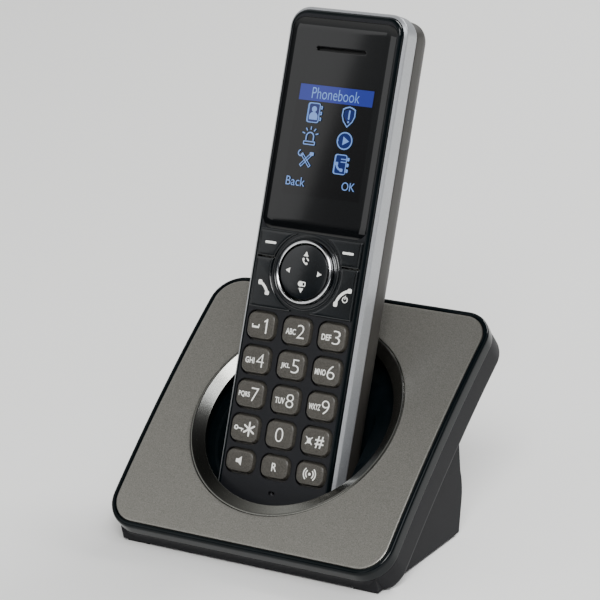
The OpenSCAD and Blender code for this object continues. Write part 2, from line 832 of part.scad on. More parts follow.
module battery_door() {
  color([0.3, 0.29, 0.27]) on_handset() difference() {
    translate([-door_w / 2, door_s, rear_z]) cube([door_w, door_len, door_t]);
    for (i = [0 : 3]) translate([-6, door_s + 4 + 2.2 * i, rear_z - 1]) cube([12, 1, 1.5]);
  }
}

module display_lens() {
  color([0.05, 0.05, 0.06]) on_handset() difference() {
    lens_cut(lens_w, lens_len, lens_corner_r - 0.1, face_z - lens_t + 0.05, face_z + 0.15);
    translate([0, earpiece_s, -5]) linear_extrude(6)
      rounded_rect(2 * slot_half, slot_h, slot_h / 2 - 0.01);
  }
}

module lcd_module() {
  color([0.1, 0.16, 0.4]) on_handset()
    translate([-glass_w / 2, picture_s - glass_h / 2, glass_top_z - glass_t])
      cube([glass_w, glass_h, glass_t]);
}

module lcd_frame() {
  top = glass_top_z - 0.1;
  low = board_top_z + 0.1;
  color([0.9, 0.9, 0.88]) on_handset() difference() {
    translate([-glass_w / 2 - 0.9, picture_s - glass_h / 2 - 1.2, low])
      cube([glass_w + 1.8, glass_h + 2.4, top - low]);
    translate([-glass_w / 2 - 0.1, picture_s - glass_h / 2 - 0.1, glass_top_z - glass_t - 0.05])
      cube([glass_w + 0.2, glass_h + 0.2, far]);
    translate([-glass_w / 2 + 1.5, picture_s - glass_h / 2 + 1.5, low - 1])
      cube([glass_w - 3, glass_h - 3, far]);
  }
}

module earpiece_speaker() {
  color([0.55, 0.55, 0.57]) on_handset() translate([0, earpiece_s, board_top_z + 0.1])
    difference() {
      cylinder(r = earpiece_r, h = face_back_z - 0.6 - board_top_z - 0.1);
      translate([0, 0, 2.6]) cylinder(r = earpiece_r - 1, h = 2);
    }
}

module earpiece_mesh() {
  color([0.2, 0.2, 0.2]) on_handset() translate([0, earpiece_s, face_back_z - 0.45])
    linear_extrude(0.4) rounded_rect(2 * slot_half + 2, slot_h + 3, 1.5);
}

// Places of the dialling keys: x, distance from the chin, height of the key
function dial_keys() = [
  for (row = [0 : 3], column = [-1 : 1])
    [column * column_pitch, lowest_dial_s + row * row_pitch, key_h],
  for (column = [-1 : 1]) [column * column_pitch, low_row_s, low_key_h]];

module key_outline(h, grow) {
  rounded_rect(key_w + 2 * grow, h + 2 * grow, key_corner_r + grow);
}

module key_hole(k) {
  translate([k[0], k[1], -5]) linear_extrude(6) key_outline(k[2], key_gap);
}

// A dialling key with its flange behind the face and the stem that presses its dome
module dial_key(column, row) {
  low = row < 0;
  h = low ? low_key_h : key_h;
  s = low ? low_row_s : lowest_dial_s + row * row_pitch;
  color([0.33, 0.32, 0.3]) on_handset() translate([column * column_pitch, s, 0]) {
    translate([0, 0, key_flange_z - flange_t]) linear_extrude(-key_flange_z + flange_t)
      key_outline(h, 0);
    translate([0, 0, key_flange_z - flange_t]) linear_extrude(flange_t)
      rounded_rect(key_w + 2 * (key_gap + flange_w), h + 2 * (key_gap + flange_w) - 0.4, 3.6);
    translate([0, 0, stem_tip_z]) cylinder(r = stem_r, h = key_flange_z - stem_tip_z);
  }
}

module key_1() { dial_key(-1, 3); }

module key_2() { dial_key(0, 3); }

module key_3() { dial_key(1, 3); }

module key_4() { dial_key(-1, 2); }

module key_5() { dial_key(0, 2); }

module key_6() { dial_key(1, 2); }

module key_7() { dial_key(-1, 1); }

module key_8() { dial_key(0, 1); }

module key_9() { dial_key(1, 1); }

module key_star() { dial_key(-1, 0); }

module key_0() { dial_key(0, 0); }

module key_hash() { dial_key(1, 0); }

module key_speaker() { dial_key(-1, -1); }

module key_recall() { dial_key(0, -1); }

module key_intercom() { dial_key(1, -1); }

// One quarter of the block round the navigation key, grown all round
module block_quarter(side, upper, grow) {
  low_s = block_top_s - block_h;
  from_s = upper ? block_seam_s + key_gap / 2 : low_s;
  to_s = upper ? block_top_s : block_seam_s - key_gap / 2;
  reach = block_w / 2;
  difference() {
    translate([side * reach / 2 + side * 0.2, (from_s + to_s) / 2])
      square([reach - 0.4 + 2 * grow, to_s - from_s + 2 * grow], center = true);
    translate([0, nav_s]) circle(block_arc_r - grow);
    translate([side * -reach, nav_s]) square([2 * reach + 2 * (4 - grow), far], center = true);
  }
}

module block_holes() {
  for (side = [-1, 1], upper = [true, false]) translate([0, 0, -5]) linear_extrude(6)
    block_quarter(side, upper, key_gap / 2);
}

// A soft or call key, with a stem over its dome
module block_key(side, upper) {
  stem_s = upper ? soft_stem_s : call_stem_s;
  color([0.07, 0.08, 0.09]) on_handset() {
    translate([0, 0, key_flange_z - flange_t]) linear_extrude(-key_flange_z + flange_t)
      block_quarter(side, upper, -0.05);
    translate([side * block_stem_x, stem_s, stem_tip_z])
      cylinder(r = stem_r, h = key_flange_z - stem_tip_z);
  }
}

module soft_key_left() { block_key(-1, true); }

module soft_key_right() { block_key(1, true); }

module talk_key() { block_key(-1, false); }

module off_key() { block_key(1, false); }

module nav_ring() {
  color([0.8, 0.8, 0.82]) on_handset() translate([0, nav_s, 0]) difference() {
    translate([0, 0, face_back_z]) cylinder(r = nav_ring_r, h = nav_rise - face_back_z);
    translate([0, 0, -far / 2]) cylinder(r = nav_ring_r - nav_ring_w, h = far);
  }
}

// Cross-shaped rocker under the navigation key
module nav_pivot() {
  reach = nav_stem_reach - nav_dome_r;
  color([0.5, 0.5, 0.52]) on_handset() translate([0, nav_s, pivot_z]) {
    rotate([0, 90, 0]) cylinder(r = pivot_r, h = 2 * reach, center = true);
    rotate([90, 0, 0]) cylinder(r = pivot_r, h = 2 * reach, center = true);
  }
}

module nav_pad() {
  rim = 0.6;
  color([0.06, 0.07, 0.08]) on_handset() translate([0, nav_s, pad_base_z]) difference() {
    union() {
      cylinder(r = nav_pad_r, h = nav_pad_z - pad_base_z);
      for (a = [0 : 90 : 270]) rotate(a) translate([nav_stem_reach, 0, stem_tip_z - pad_base_z])
        cylinder(r = 1, h = pad_base_z - stem_tip_z + 0.1);
    }
    translate([0, 0, nav_pad_z - pad_base_z - rim / 2]) rotate_extrude()
      translate([nav_pad_r - 2.2, 0]) square([0.6, 1]);
  }
}

// Silicone sheet that the stems pass through
module keypad_membrane() {
  low_s = low_row_s - 6;
  high_s = lens_low - 1.5;
  w = handset_board_w - 0.6;
  color([0.75, 0.75, 0.72]) on_handset() difference() {
    translate([-w / 2, low_s, membrane_top_z - membrane_t]) cube([w, high_s - low_s, membrane_t]);
    for (k = dial_keys()) translate([k[0], k[1], -far / 2]) cylinder(r = stem_r + 0.3, h = far);
    for (x = [-1, 1], s = [soft_stem_s, call_stem_s])
      translate([x * block_stem_x, s, -far / 2]) cylinder(r = stem_r + 0.3, h = far);
    translate([0, nav_s, -far / 2]) cylinder(r = nav_pad_r + 0.5, h = far);
  }
}

// Metal snap domes, one under each stem
module dome_sheet() {
  color([0.75, 0.76, 0.78]) on_handset() {
    for (k = dial_keys()) translate([k[0], k[1], board_top_z]) cylinder(r = dome_r, h = dome_t);
    for (x = [-1, 1], s = [soft_stem_s, call_stem_s])
      translate([x * block_stem_x, s, board_top_z]) cylinder(r = dome_r, h = dome_t);
    for (a = [0 : 90 : 270]) translate([0, nav_s, board_top_z]) rotate(a)
      translate([nav_stem_reach, 0, 0]) cylinder(r = nav_dome_r, h = dome_t);
  }
}

module handset_circuit_board() {
  color([0.1, 0.35, 0.2]) on_handset()
    handset_block(handset_board_w, front_len - 2 * front_wall - 1, handset_board_r, board_back_z,
      board_top_z);
}

module handset_radio_shield() {
  color([0.7, 0.7, 0.7]) on_handset() translate([-12, bay_s + bay_len + 4, board_back_z - 2.2])
    difference() {
      cube([24, 16, 2.2]);
      translate([0.3, 0.3, 0.3]) cube([23.4, 15.4, 3]);
    }
}

module handset_antenna() {
  color([0.75, 0.62, 0.35]) on_handset()
    translate([-13, handset_len - 12, board_back_z - 1.6]) difference() {
      cube([26, 5, 1.5]);
      for (i = [0 : 4]) translate([2 + 5 * i, i % 2 == 0 ? -1 : 1.2, -1]) cube([1.6, 4.8, 4]);
    }
}

module microphone() {
  color([0.3, 0.3, 0.32]) on_handset() translate([0, mic_s, board_top_z + 0.1]) difference() {
    cylinder(r = 2.6, h = face_back_z - 0.1 - board_top_z - 0.1);
    translate([0, 0, 1.4]) cylinder(r = 0.8, h = 4);
  }
}

module loudspeaker() {
  color([0.35, 0.35, 0.37]) on_handset()
    translate([0, speaker_s, rear_z + shell_wall + 0.2]) difference() {
      cylinder(r = speaker_r, h = 5);
      translate([0, 0, -1]) cylinder(r = speaker_r - 1, h = 2);
    }
}

module battery_cells() {
  color([0.2, 0.5, 0.3]) on_handset() for (x = [-1, 1])
    translate([x * (cell_r + cell_gap / 2), bay_s + 2.5, cell_z]) rotate([-90, 0, 0]) {
      cylinder(r = cell_r, h = cell_len - 1);
      translate([0, 0, cell_len - 1.01]) cylinder(r = 1.9, h = 1);
    }
}

module battery_contacts() {
  color([0.8, 0.8, 0.82]) on_handset() for (x = [-1, 1]) {
    translate([x * (cell_r + cell_gap / 2), bay_s + 0.2, cell_z]) {
      translate([-3.5, 0, -3.5]) cube([7, 0.4, 7]);
      translate([0, 0.39, 0]) rotate([-90, 0, 0]) difference() {
        cylinder(r = 2.6, h = 1.8);
        translate([0, 0, -1]) cylinder(r = 2, h = 4);
      }
    }
    translate([x * (cell_r + cell_gap / 2) - 3.5, bay_s + bay_len - 0.6, cell_z - 3.5])
      cube([7, 0.4, 7]);
  }
}

module handset_charge_pads() {
  color([0.82, 0.75, 0.5]) on_handset() for (x = [-1, 1])
    translate([x * contact_pitch / 2 - pad_size / 2, pad_face,
      -contact_back - pad_size / 2 + 0.1]) cube([pad_size, shell_wall, pad_size - 0.2]);
}

module handset_screws() {
  color([0.6, 0.6, 0.62]) on_handset() for (x = [-1, 1])
    translate([x * case_screw_x, case_screw_s, rear_z + 0.4]) {
      cylinder(r = 1.3, h = 1.2);
      cylinder(r = 0.8, h = 7);
    }
}

base_top_plate();
base_rim_housing();
base_lower_housing();
cradle_trim_ring();
cradle_well();
base_circuit_board();
base_radio_shield();
base_antenna();
line_jack();
dc_power_jack();
page_switch();
page_button();
charge_contact_holder();
charge_contact_left();
charge_contact_right();
base_screws();
rubber_feet();
handset_front_shell();
handset_side_band();
handset_rear_shell();
battery_door();
display_lens();
lcd_module();
lcd_frame();
earpiece_speaker();
earpiece_mesh();
keypad_membrane();
dome_sheet();
handset_circuit_board();
handset_radio_shield();
handset_antenna();
microphone();
loudspeaker();
battery_cells();
battery_contacts();
handset_charge_pads();
handset_screws();
nav_ring();
nav_pivot();
nav_pad();
soft_key_left();
soft_key_right();
talk_key();
off_key();
key_1();
key_2();
key_3();
key_4();
key_5();
key_6();
key_7();
key_8();
key_9();
key_star();
key_0();
key_hash();
key_speaker();
key_recall();
key_intercom();
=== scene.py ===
import bmesh
import bpy
import json
import math
from mathutils import Matrix, Vector
from mathutils.bvhtree import BVHTree


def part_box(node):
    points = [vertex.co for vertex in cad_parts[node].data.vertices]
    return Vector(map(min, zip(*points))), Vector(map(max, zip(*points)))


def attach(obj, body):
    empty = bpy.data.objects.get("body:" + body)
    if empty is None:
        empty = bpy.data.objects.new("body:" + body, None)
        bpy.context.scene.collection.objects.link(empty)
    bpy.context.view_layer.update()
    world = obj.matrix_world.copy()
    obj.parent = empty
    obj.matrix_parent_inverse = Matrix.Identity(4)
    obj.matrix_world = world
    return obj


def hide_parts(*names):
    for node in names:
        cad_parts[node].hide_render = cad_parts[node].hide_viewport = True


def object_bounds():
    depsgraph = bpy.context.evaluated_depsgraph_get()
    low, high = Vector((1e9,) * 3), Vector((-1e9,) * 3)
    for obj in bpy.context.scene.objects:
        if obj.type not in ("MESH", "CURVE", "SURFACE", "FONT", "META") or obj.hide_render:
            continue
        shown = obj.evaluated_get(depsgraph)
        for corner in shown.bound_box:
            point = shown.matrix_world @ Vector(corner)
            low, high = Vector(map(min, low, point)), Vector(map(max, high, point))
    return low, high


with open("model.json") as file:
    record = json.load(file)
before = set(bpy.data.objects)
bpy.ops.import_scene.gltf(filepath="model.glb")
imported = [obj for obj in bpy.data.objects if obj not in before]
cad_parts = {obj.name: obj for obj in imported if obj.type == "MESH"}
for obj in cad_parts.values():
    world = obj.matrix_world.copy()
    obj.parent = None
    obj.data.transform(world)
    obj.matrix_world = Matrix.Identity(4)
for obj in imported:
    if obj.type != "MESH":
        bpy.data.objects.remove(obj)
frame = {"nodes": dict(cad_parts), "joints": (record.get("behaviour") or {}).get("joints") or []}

# Cordless phone handset standing in its charging base.
# Every outline below is in millimetres. Slab places are (x, distance up the slope, height off the slope),
# and handset places are (x, distance up from the chin, height out from the key tops).

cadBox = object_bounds()
mm = 0.001

slab = {
    "slope": 37.5, "frontY": -51, "frontZ": 10.4,
    "width": 110, "length": 103, "corner": 9.5, "crownRadius": 593, "rim": 2, "rimHigh": 5, "wall": 2,
}
slab["reach"] = slab["length"] / slab["crownRadius"] / 2
slab["chord"] = 2 * slab["crownRadius"] * math.sin(slab["reach"])
slab["crown"] = slab["crownRadius"] * (1 - math.cos(slab["reach"]))

handset = {
    "width": 47.4, "length": 176.4, "thick": 23, "corner": 7.5, "leastCorner": 1.2,
    "face": -0.8, "faceBack": -2.4,
}

joints = {joint["name"]: joint for joint in frame["joints"]}
liftAxis = Vector(joints["handset_lift"]["axis"])
lean = math.atan2(liftAxis.z, liftAxis.y)
rocker = {"up": 84.4, "out": -3.6}  # where the navigation key's pivot stands in the handset
slabTurn = Matrix.Rotation(math.radians(slab["slope"]), 4, "X")
slabFrame = Matrix.Translation((0, slab["frontY"], slab["frontZ"])) @ slabTurn
handsetTurn = Matrix.Rotation(lean, 4, "X")
pivot = Vector(joints["nav_up_down"]["pos_m"]) / mm
chin = pivot - handsetTurn @ Vector((0, rocker["up"], rocker["out"]))
handsetFrame = Matrix.Translation(chin) @ handsetTurn
tableFrame = Matrix.Identity(4)

camera = {"aim": (-1.46, -2.82, 82.72), "azimuth": 33.09, "elevation": 19.24, "roll": -3.02,
          "distance": 1024.4, "lens": 177.9, "clip": (0.05, 20)}


def placeCamera():
    turn = math.radians(camera["azimuth"])
    rise = math.radians(camera["elevation"])
    look = Vector((-math.sin(turn) * math.cos(rise), math.cos(turn) * math.cos(rise), -math.sin(rise)))
    level = look.cross(Vector((0, 0, 1))).normalized()
    up = level.cross(look)
    roll = math.radians(camera["roll"])
    right = level * math.cos(roll) + up * math.sin(roll)
    top = up * math.cos(roll) - level * math.sin(roll)
    data = bpy.data.cameras.new("camera")
    data.lens = camera["lens"]
    data.clip_start, data.clip_end = camera["clip"]
    view = bpy.data.objects.new("camera", data)
    bpy.context.scene.collection.objects.link(view)
    place = (Vector(camera["aim"]) - look * camera["distance"]) * mm
    view.matrix_world = Matrix((right, top, -look)).transposed().to_4x4()
    view.matrix_world.translation = place
    bpy.context.scene.camera = view


placeCamera()
print("camera placed")


def mix(first, second, share):
    return tuple(a + (b - a) * share for a, b in zip(first, second))


def roundedOutline(width, height, radius, centre=(0, 0), steps=8, sides=1):
    arcs = []
    for corner, (signX, signY) in enumerate(((1, 1), (-1, 1), (-1, -1), (1, -1))):
        x = centre[0] + signX * (width / 2 - radius)
        y = centre[1] + signY * (height / 2 - radius)
        angles = [math.pi / 2 * (corner + step / steps) for step in range(steps + 1)]
        arcs.append([(x + radius * math.cos(a), y + radius * math.sin(a)) for a in angles])
    points = []
    for corner in range(4):
        points += arcs[corner]
        start, end = arcs[corner][-1], arcs[(corner + 1) % 4][0]
        points += [mix(start, end, step / sides) for step in range(1, sides)]
    return points


def circleOutline(radius, centre=(0, 0), count=36):
    angles = [2 * math.pi * i / count for i in range(count)]
    return [(centre[0] + radius * math.cos(a), centre[1] + radius * math.sin(a)) for a in angles]


def addRing(bm, points, height):
    level = height if callable(height) else lambda x, y: height
    return [bm.verts.new((x, y, level(x, y))) for x, y in points]


def bridge(bm, first, second):
    for i in range(len(first)):
        j = (i + 1) % len(first)
        bm.faces.new((first[i], first[j], second[j], second[i]))


def bridgeAll(bm, rings, closed=False):
    for first, second in zip(rings, rings[1:] + (rings[:1] if closed else [])):
        bridge(bm, first, second)


def fill(bm, *rings):
    edges = []
    for ring in rings:
        for i, vert in enumerate(ring):
            after = ring[(i + 1) % len(ring)]
            edges.append(bm.edges.get((vert, after)) or bm.edges.new((vert, after)))
    bmesh.ops.triangle_fill(bm, edges=edges, use_beauty=True, use_dissolve=False)


def holedPlate(bm, outline, edge, holes, holeEdge):
    # rings of a plate's rim and of its holes, with the top and bottom rings still to be filled
    outer = [addRing(bm, outline(inset), height) for inset, height in edge]
    bridgeAll(bm, outer)
    tops, bottoms = [outer[0]], [outer[-1]]
    for hole in holes:
        rings = [addRing(bm, hole(grow), height) for grow, height in holeEdge]
        bridgeAll(bm, rings)
        tops.append(rings[0])
        bottoms.append(rings[-1])
    return tops, bottoms


creaseAngle = 32  # degrees between two faces that show as an edge
weldReach = 0.0005  # millimetres within which points join


def finishPiece(name, bm, place, material, body, replaced=(), sharp=creaseAngle, weighted=True):
    bmesh.ops.remove_doubles(bm, verts=bm.verts, dist=weldReach)
    bmesh.ops.recalc_face_normals(bm, faces=bm.faces)
    surface = BVHTree.FromBMesh(bm)
    bm.transform(Matrix.Scale(mm, 4) @ place)
    mesh = bpy.data.meshes.new(name)
    bm.to_mesh(mesh)
    bm.free()
    mesh.shade_smooth()
    mesh.set_sharp_from_angle(angle=math.radians(sharp))
    mesh.materials.append(material)
    piece = bpy.data.objects.new(name, mesh)
    bpy.context.scene.collection.objects.link(piece)
    if weighted:
        normals = piece.modifiers.new("normals", "WEIGHTED_NORMAL")
        normals.keep_sharp = True
    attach(piece, body)
    if replaced:
        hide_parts(*replaced)
    return piece, surface


def asObject(bm):
    mesh = bpy.data.meshes.new("part")
    bmesh.ops.recalc_face_normals(bm, faces=bm.faces)
    bm.to_mesh(mesh)
    bm.free()
    part = bpy.data.objects.new("part", mesh)
    bpy.context.scene.collection.objects.link(part)
    return part


def drop(part):
    mesh = part.data
    bpy.data.objects.remove(part)
    if isinstance(mesh, bpy.types.Mesh):
        bpy.data.meshes.remove(mesh)
    else:
        bpy.data.curves.remove(mesh)


def evaluated(part):
    graph = bpy.context.evaluated_depsgraph_get()
    mesh = bpy.data.meshes.new_from_object(part.evaluated_get(graph))
    bm = bmesh.new()
    bm.from_mesh(mesh)
    bpy.data.meshes.remove(mesh)
    return bm


def combine(first, second, operation):
    body, tool = asObject(first), asObject(second)
    cut = body.modifiers.new("cut", "BOOLEAN")
    cut.operation = operation
    cut.solver = "EXACT"
    cut.object = tool
    bpy.context.view_layer.update()
    result = evaluated(body)
    drop(body)
    drop(tool)
    return result


def prism(points, low, high, place=tableFrame):
    bm = bmesh.new()
    rings = [addRing(bm, points, low), addRing(bm, points, high)]
    bridgeAll(bm, rings)
    fill(bm, rings[0])
    fill(bm, rings[1])
    bm.transform(place)
    return bm


def colour(code):
    parts = [int(code[i:i + 2], 16) / 255 for i in (1, 3, 5)]
    return tuple(p / 12.92 if p <= 0.04045 else ((p + 0.055) / 1.055) ** 2.4 for p in parts) + (1,)


def addNode(material, kind, settings=None, links=None):
    node = material.node_tree.nodes.new(kind)
    for key, value in (settings or {}).items():
        if key in node.inputs or isinstance(key, int):
            node.inputs[key].default_value = value
        else:
            setattr(node, key, value)
    for key, source in (links or {}).items():
        material.node_tree.links.new(source, node.inputs[key])
    return node


def newMaterial(name, settings):
    material = bpy.data.materials.new(name)
    material.use_nodes = True
    material.node_tree.nodes.clear()
    shader = addNode(material, "ShaderNodeBsdfPrincipled", settings)
    addNode(material, "ShaderNodeOutputMaterial", links={"Surface": shader.outputs[0]})
    return material, shader


def moulded(name, dark, light, grain, depth, settings, spread=(0.35, 0.65)):
    # a tool's texture: two close tones and a fine relief, both at the grain's size in millimetres
    material, shader = newMaterial(name, settings)
    place = addNode(material, "ShaderNodeTexCoord").outputs["Object"]
    texture = addNode(material, "ShaderNodeTexNoise",
                      {"Scale": 1 / (grain * mm), "Detail": 3, "Roughness": 0.6}, {"Vector": place})
    tones = addNode(material, "ShaderNodeValToRGB", links={"Fac": texture.outputs["Fac"]})
    tones.color_ramp.elements[0].position, tones.color_ramp.elements[1].position = spread
    tones.color_ramp.elements[0].color, tones.color_ramp.elements[1].color = colour(dark), colour(light)
    bump = addNode(material, "ShaderNodeBump", {"Distance": depth * mm, "Strength": 1.0},
                   {"Height": texture.outputs["Fac"]})
    material.node_tree.links.new(tones.outputs["Color"], shader.inputs["Base Color"])
    material.node_tree.links.new(bump.outputs["Normal"], shader.inputs["Normal"])
    return material


# metallic paint on moulded ABS: a soft metal sheen with a fine grain
# real flakes are too fine to see one by one, so they are drawn coarser
platePaint = moulded("metallicPaint", "#777670", "#96948E", 0.34, 0.014,
                     {"Metallic": 0.8, "Roughness": 0.36, "IOR": 1.5,
                      "Coat Weight": 0.15, "Coat Roughness": 0.3})
# piano-gloss ABS from a polished tool: near black with a cold tint, and mirror-like with a hint of waviness
glossBlack = moulded("glossAbs", "#04090B", "#070D10", 9, 0.004,
                     {"Roughness": 0.1, "IOR": 1.45, "Specular IOR Level": 0.18})
# the keys' polished polycarbonate: as the rim, but a little softer
glossKey = moulded("glossPolycarbonate", "#080B0D", "#0B0F12", 7, 0.004, {"Roughness": 0.14, "IOR": 1.5})
# spark-eroded ABS: dark grey with a soft, even sheen
caseGrey = moulded("texturedAbs", "#131315", "#1C1C1F", 0.3, 0.014,
                   {"Roughness": 0.5, "IOR": 1.48, "Specular IOR Level": 0.12})
# spark-eroded ABS of the handset's back: a warm dark grey, matt but for a soft sheen
backGrey = moulded("warmTexturedAbs", "#23211E", "#2E2C29", 0.3, 0.012, {"Roughness": 0.48, "IOR": 1.5})
# fine-textured ABS of the keypad's face: black with a faint blue
faceBlack = moulded("fineAbs", "#0E0F12", "#15161A", 0.25, 0.006,
                    {"Roughness": 0.42, "IOR": 1.45, "Specular IOR Level": 0.35})
# silicone keys with sprayed speckle under a satin hard coat: warm grey dots
# real dots are about a tenth of a millimetre, and are drawn twice as coarse
keyGrey = moulded("speckledKey", "#2B2925", "#504D47", 0.22, 0.006,
                  {"Roughness": 0.38, "IOR": 1.45, "Coat Weight": 0.12, "Coat Roughness": 0.25}, (0.42, 0.6))
# satin plating on the side band's ABS: a pale metal with soft, wide reflections
satinSilver = moulded("satinPlating", "#989A9D", "#A7A9AC", 0.4, 0.004,
                      {"Metallic": 0.45, "Roughness": 0.34})
# black chrome on the cradle's ring, plated over polished ABS: a smoky mirror
darkChrome = moulded("blackChrome", "#767672", "#82827D", 0.5, 0.003, {"Metallic": 1.0, "Roughness": 0.2})
# decorative chrome on the navigation ring, plated over polished ABS: a bright mirror
brightChrome = moulded("chromePlating", "#CDCED0", "#D6D7D9", 2, 0.001, {"Metallic": 1.0, "Roughness": 0.12})
# cast acrylic, hard-coated, with black print behind it: a flat mirror over near black
lensBlack = moulded("hardCoatedAcrylic", "#060708", "#08090A", 12, 0.002, {"Roughness": 0.05, "IOR": 1.49})
# pad-printed ink: flat, slightly warm white
whiteInk = moulded("whiteInk", "#E4E4DF", "#EFEFEA", 0.2, 0.001, {"Roughness": 0.5})
# die-cut natural rubber: matt black
footRubber = moulded("blackRubber", "#0E0E0E", "#161616", 0.4, 0.02, {"Roughness": 0.75})
# sprayed solder mask over fibreglass: glossy green with a faint weave
boardGreen = moulded("solderMask", "#0E4422", "#14572C", 0.5, 0.004, {"Roughness": 0.35})
# pressed tinned steel of the cans and clips: bright with a soft grain
tinPlate = moulded("tinnedSteel", "#B2B2AE", "#C4C4C0", 0.6, 0.004, {"Metallic": 1.0, "Roughness": 0.32})
# rolled copper strip, left bare: warm and bright
copperStrip = moulded("copperStrip", "#B0713C", "#C28450", 0.6, 0.003, {"Metallic": 1.0, "Roughness": 0.3})
# moulded nylon of the sockets and holders: dull black
socketBlack = moulded("blackNylon", "#151517", "#1D1D1F", 0.3, 0.008, {"Roughness": 0.45})
# gold plated over nickel: a warm, clean shine
contactGold = moulded("goldPlating", "#C9A95C", "#D8BC74", 0.5, 0.002, {"Metallic": 1.0, "Roughness": 0.22})
# zinc plated on steel screws: grey with a cold shine
screwZinc = moulded("zincPlating", "#8E9094", "#A2A4A8", 0.4, 0.003, {"Metallic": 1.0, "Roughness": 0.35})
# moulded white acetal: slightly waxy white
holderWhite = moulded("whiteAcetal", "#DCDCD6", "#E6E6E0", 0.4, 0.004, {"Roughness": 0.4})
# woven acoustic gauze: black with grey threads
gauzeBlack = moulded("wovenGauze", "#0C0C0C", "#2A2A2A", 0.15, 0.03, {"Roughness": 0.8})
# moulded silicone sheet: milky grey with a soft sheen
silicone = moulded("siliconeSheet", "#A8A8A2", "#B6B6B0", 0.5, 0.004, {"Roughness": 0.55})
# heat-shrunk sleeve of the cells: smooth glossy green
cellSleeve = moulded("shrinkSleeve", "#1F6B38", "#277A42", 1.5, 0.006, {"Roughness": 0.3})
# moulded glass-filled nylon of the speakers: dull grey
speakerGrey = moulded("glassFilledNylon", "#4B4B4E", "#58585B", 0.3, 0.008, {"Roughness": 0.5})


def lit(name, dark, light, glow, strength):
    # a backlit liquid-crystal picture behind the acrylic: it glows, and keeps the acrylic's gloss
    material = moulded(name, dark, light, 12, 0.002, {"Roughness": 0.05, "IOR": 1.49})
    shader = material.node_tree.nodes["Principled BSDF"]
    shader.inputs["Emission Color"].default_value = colour(glow)
    shader.inputs["Emission Strength"].default_value = strength
    return material


# the unlit part of the liquid-crystal picture: the deepest black, as glossy as the acrylic
pictureBlack = moulded("unlitPicture", "#010102", "#020203", 12, 0.002, {"Roughness": 0.05, "IOR": 1.49})
headerBlue = lit("litHeader", "#060A24", "#080C2C", "#2B3A9E", 0.85)
iconBlue = lit("litIconFill", "#04081E", "#050A26", "#10246A", 0.8)
iconLight = lit("litIconLine", "#101C30", "#142036", "#7FA8F0", 0.95)
print("materials made")


def strokeOutline(points, width):
    # a line of even width with round ends
    half = width / 2
    left, right = [], []
    last = len(points) - 1
    for i, point in enumerate(points):
        before = Vector(points[max(i - 1, 0)])
        after = Vector(points[min(i + 1, last)])
        along = (after - before).normalized()
        side = Vector((-along.y, along.x))
        if 0 < i < last:
            one = (Vector(point) - before).normalized()
            two = (after - Vector(point)).normalized()
            side = side / max(math.cos(one.angle(two) / 2), 0.5)
        left.append(tuple(Vector(point) + side * half))
        right.append(tuple(Vector(point) - side * half))

    def cap(centre, towards):
        start = math.atan2(towards[1] - centre[1], towards[0] - centre[0])
        angles = [start - math.pi * k / 6 for k in range(1, 6)]
        return [(centre[0] + half * math.cos(a), centre[1] + half * math.sin(a)) for a in angles]

    return left + cap(points[-1], left[-1]) + right[::-1] + cap(points[0], right[0])


def arc(centre, radius, start, end, count=12):
    angles = [math.radians(start + (end - start) * i / count) for i in range(count + 1)]
    return [(centre[0] + radius * math.cos(a), centre[1] + radius * math.sin(a)) for a in angles]


def stroke(width, *points):
    return {"loops": [strokeOutline(list(points), width)]}


def shape(*loops):
    return {"loops": [list(loop) for loop in loops]}


def moved(marks, x, y, size=1):
    result = []
    for mark in marks:
        if "text" in mark:
            at = (mark["at"][0] * size + x, mark["at"][1] * size + y)
            result.append({**mark, "at": at, "high": mark["high"] * size, "wide": mark["wide"] * size})
        else:
            loops = [[(px * size + x, py * size + y) for px, py in loop] for loop in mark["loops"]]
            result.append({"loops": loops})
    return result


def word(text, x, y, high, wide, weight=0.0):
    return {"text": text, "at": (x, y), "high": high, "wide": wide, "weight": weight}


def markMesh(mark, thick):
    if "text" in mark:
        data = bpy.data.curves.new("mark", "FONT")
        data.body = mark["text"]
        data.offset = mark["weight"]
        data.resolution_u = 4
    else:
        data = bpy.data.curves.new("mark", "CURVE")
        data.dimensions = "2D"
        for loop in mark["loops"]:
            spline = data.splines.new("POLY")
            spline.points.add(len(loop) - 1)
            for point, (x, y) in zip(spline.points, loop):
                point.co = (x, y, 0, 1)
            spline.use_cyclic_u = True
    data.fill_mode = "BOTH"
    data.extrude = thick / 2
    part = bpy.data.objects.new("mark", data)
    bpy.context.scene.collection.objects.link(part)
    bpy.context.view_layer.update()
    bm = evaluated(part)
    drop(part)
    if "text" in mark:
        xs = [v.co.x for v in bm.verts]
        ys = [v.co.y for v in bm.verts]
        stretchX = mark["wide"] / (max(xs) - min(xs))
        stretchY = mark["high"] / (max(ys) - min(ys))
        for v in bm.verts:
            v.co.x = (v.co.x - (max(xs) + min(xs)) / 2) * stretchX + mark["at"][0]
            v.co.y = (v.co.y - (max(ys) + min(ys)) / 2) * stretchY + mark["at"][1]
    return bm


ink = {"thick": 0.03, "lift": 0.002, "lifts": 6, "above": 20}


def printMarks(name, marks, centre, surface, place, material, body):
    # marks lie on the surface below them, a hair proud of it and of each other
    bm = bmesh.new()
    for order, mark in enumerate(marks):
        single = markMesh(mark, ink["thick"])
        for v in single.verts:
            v.co.x += centre[0]
            v.co.y += centre[1]
            hit = surface.ray_cast(Vector((v.co.x, v.co.y, ink["above"])), Vector((0, 0, -1)))[0]
            v.co.z += (hit.z if hit else 0) + ink["lift"] * (order % ink["lifts"])
        mesh = bpy.data.meshes.new("mark")
        single.to_mesh(mesh)
        single.free()
        bm.from_mesh(mesh)
        bpy.data.meshes.remove(mesh)
    return finishPiece(name, bm, place, material, body, weighted=False)


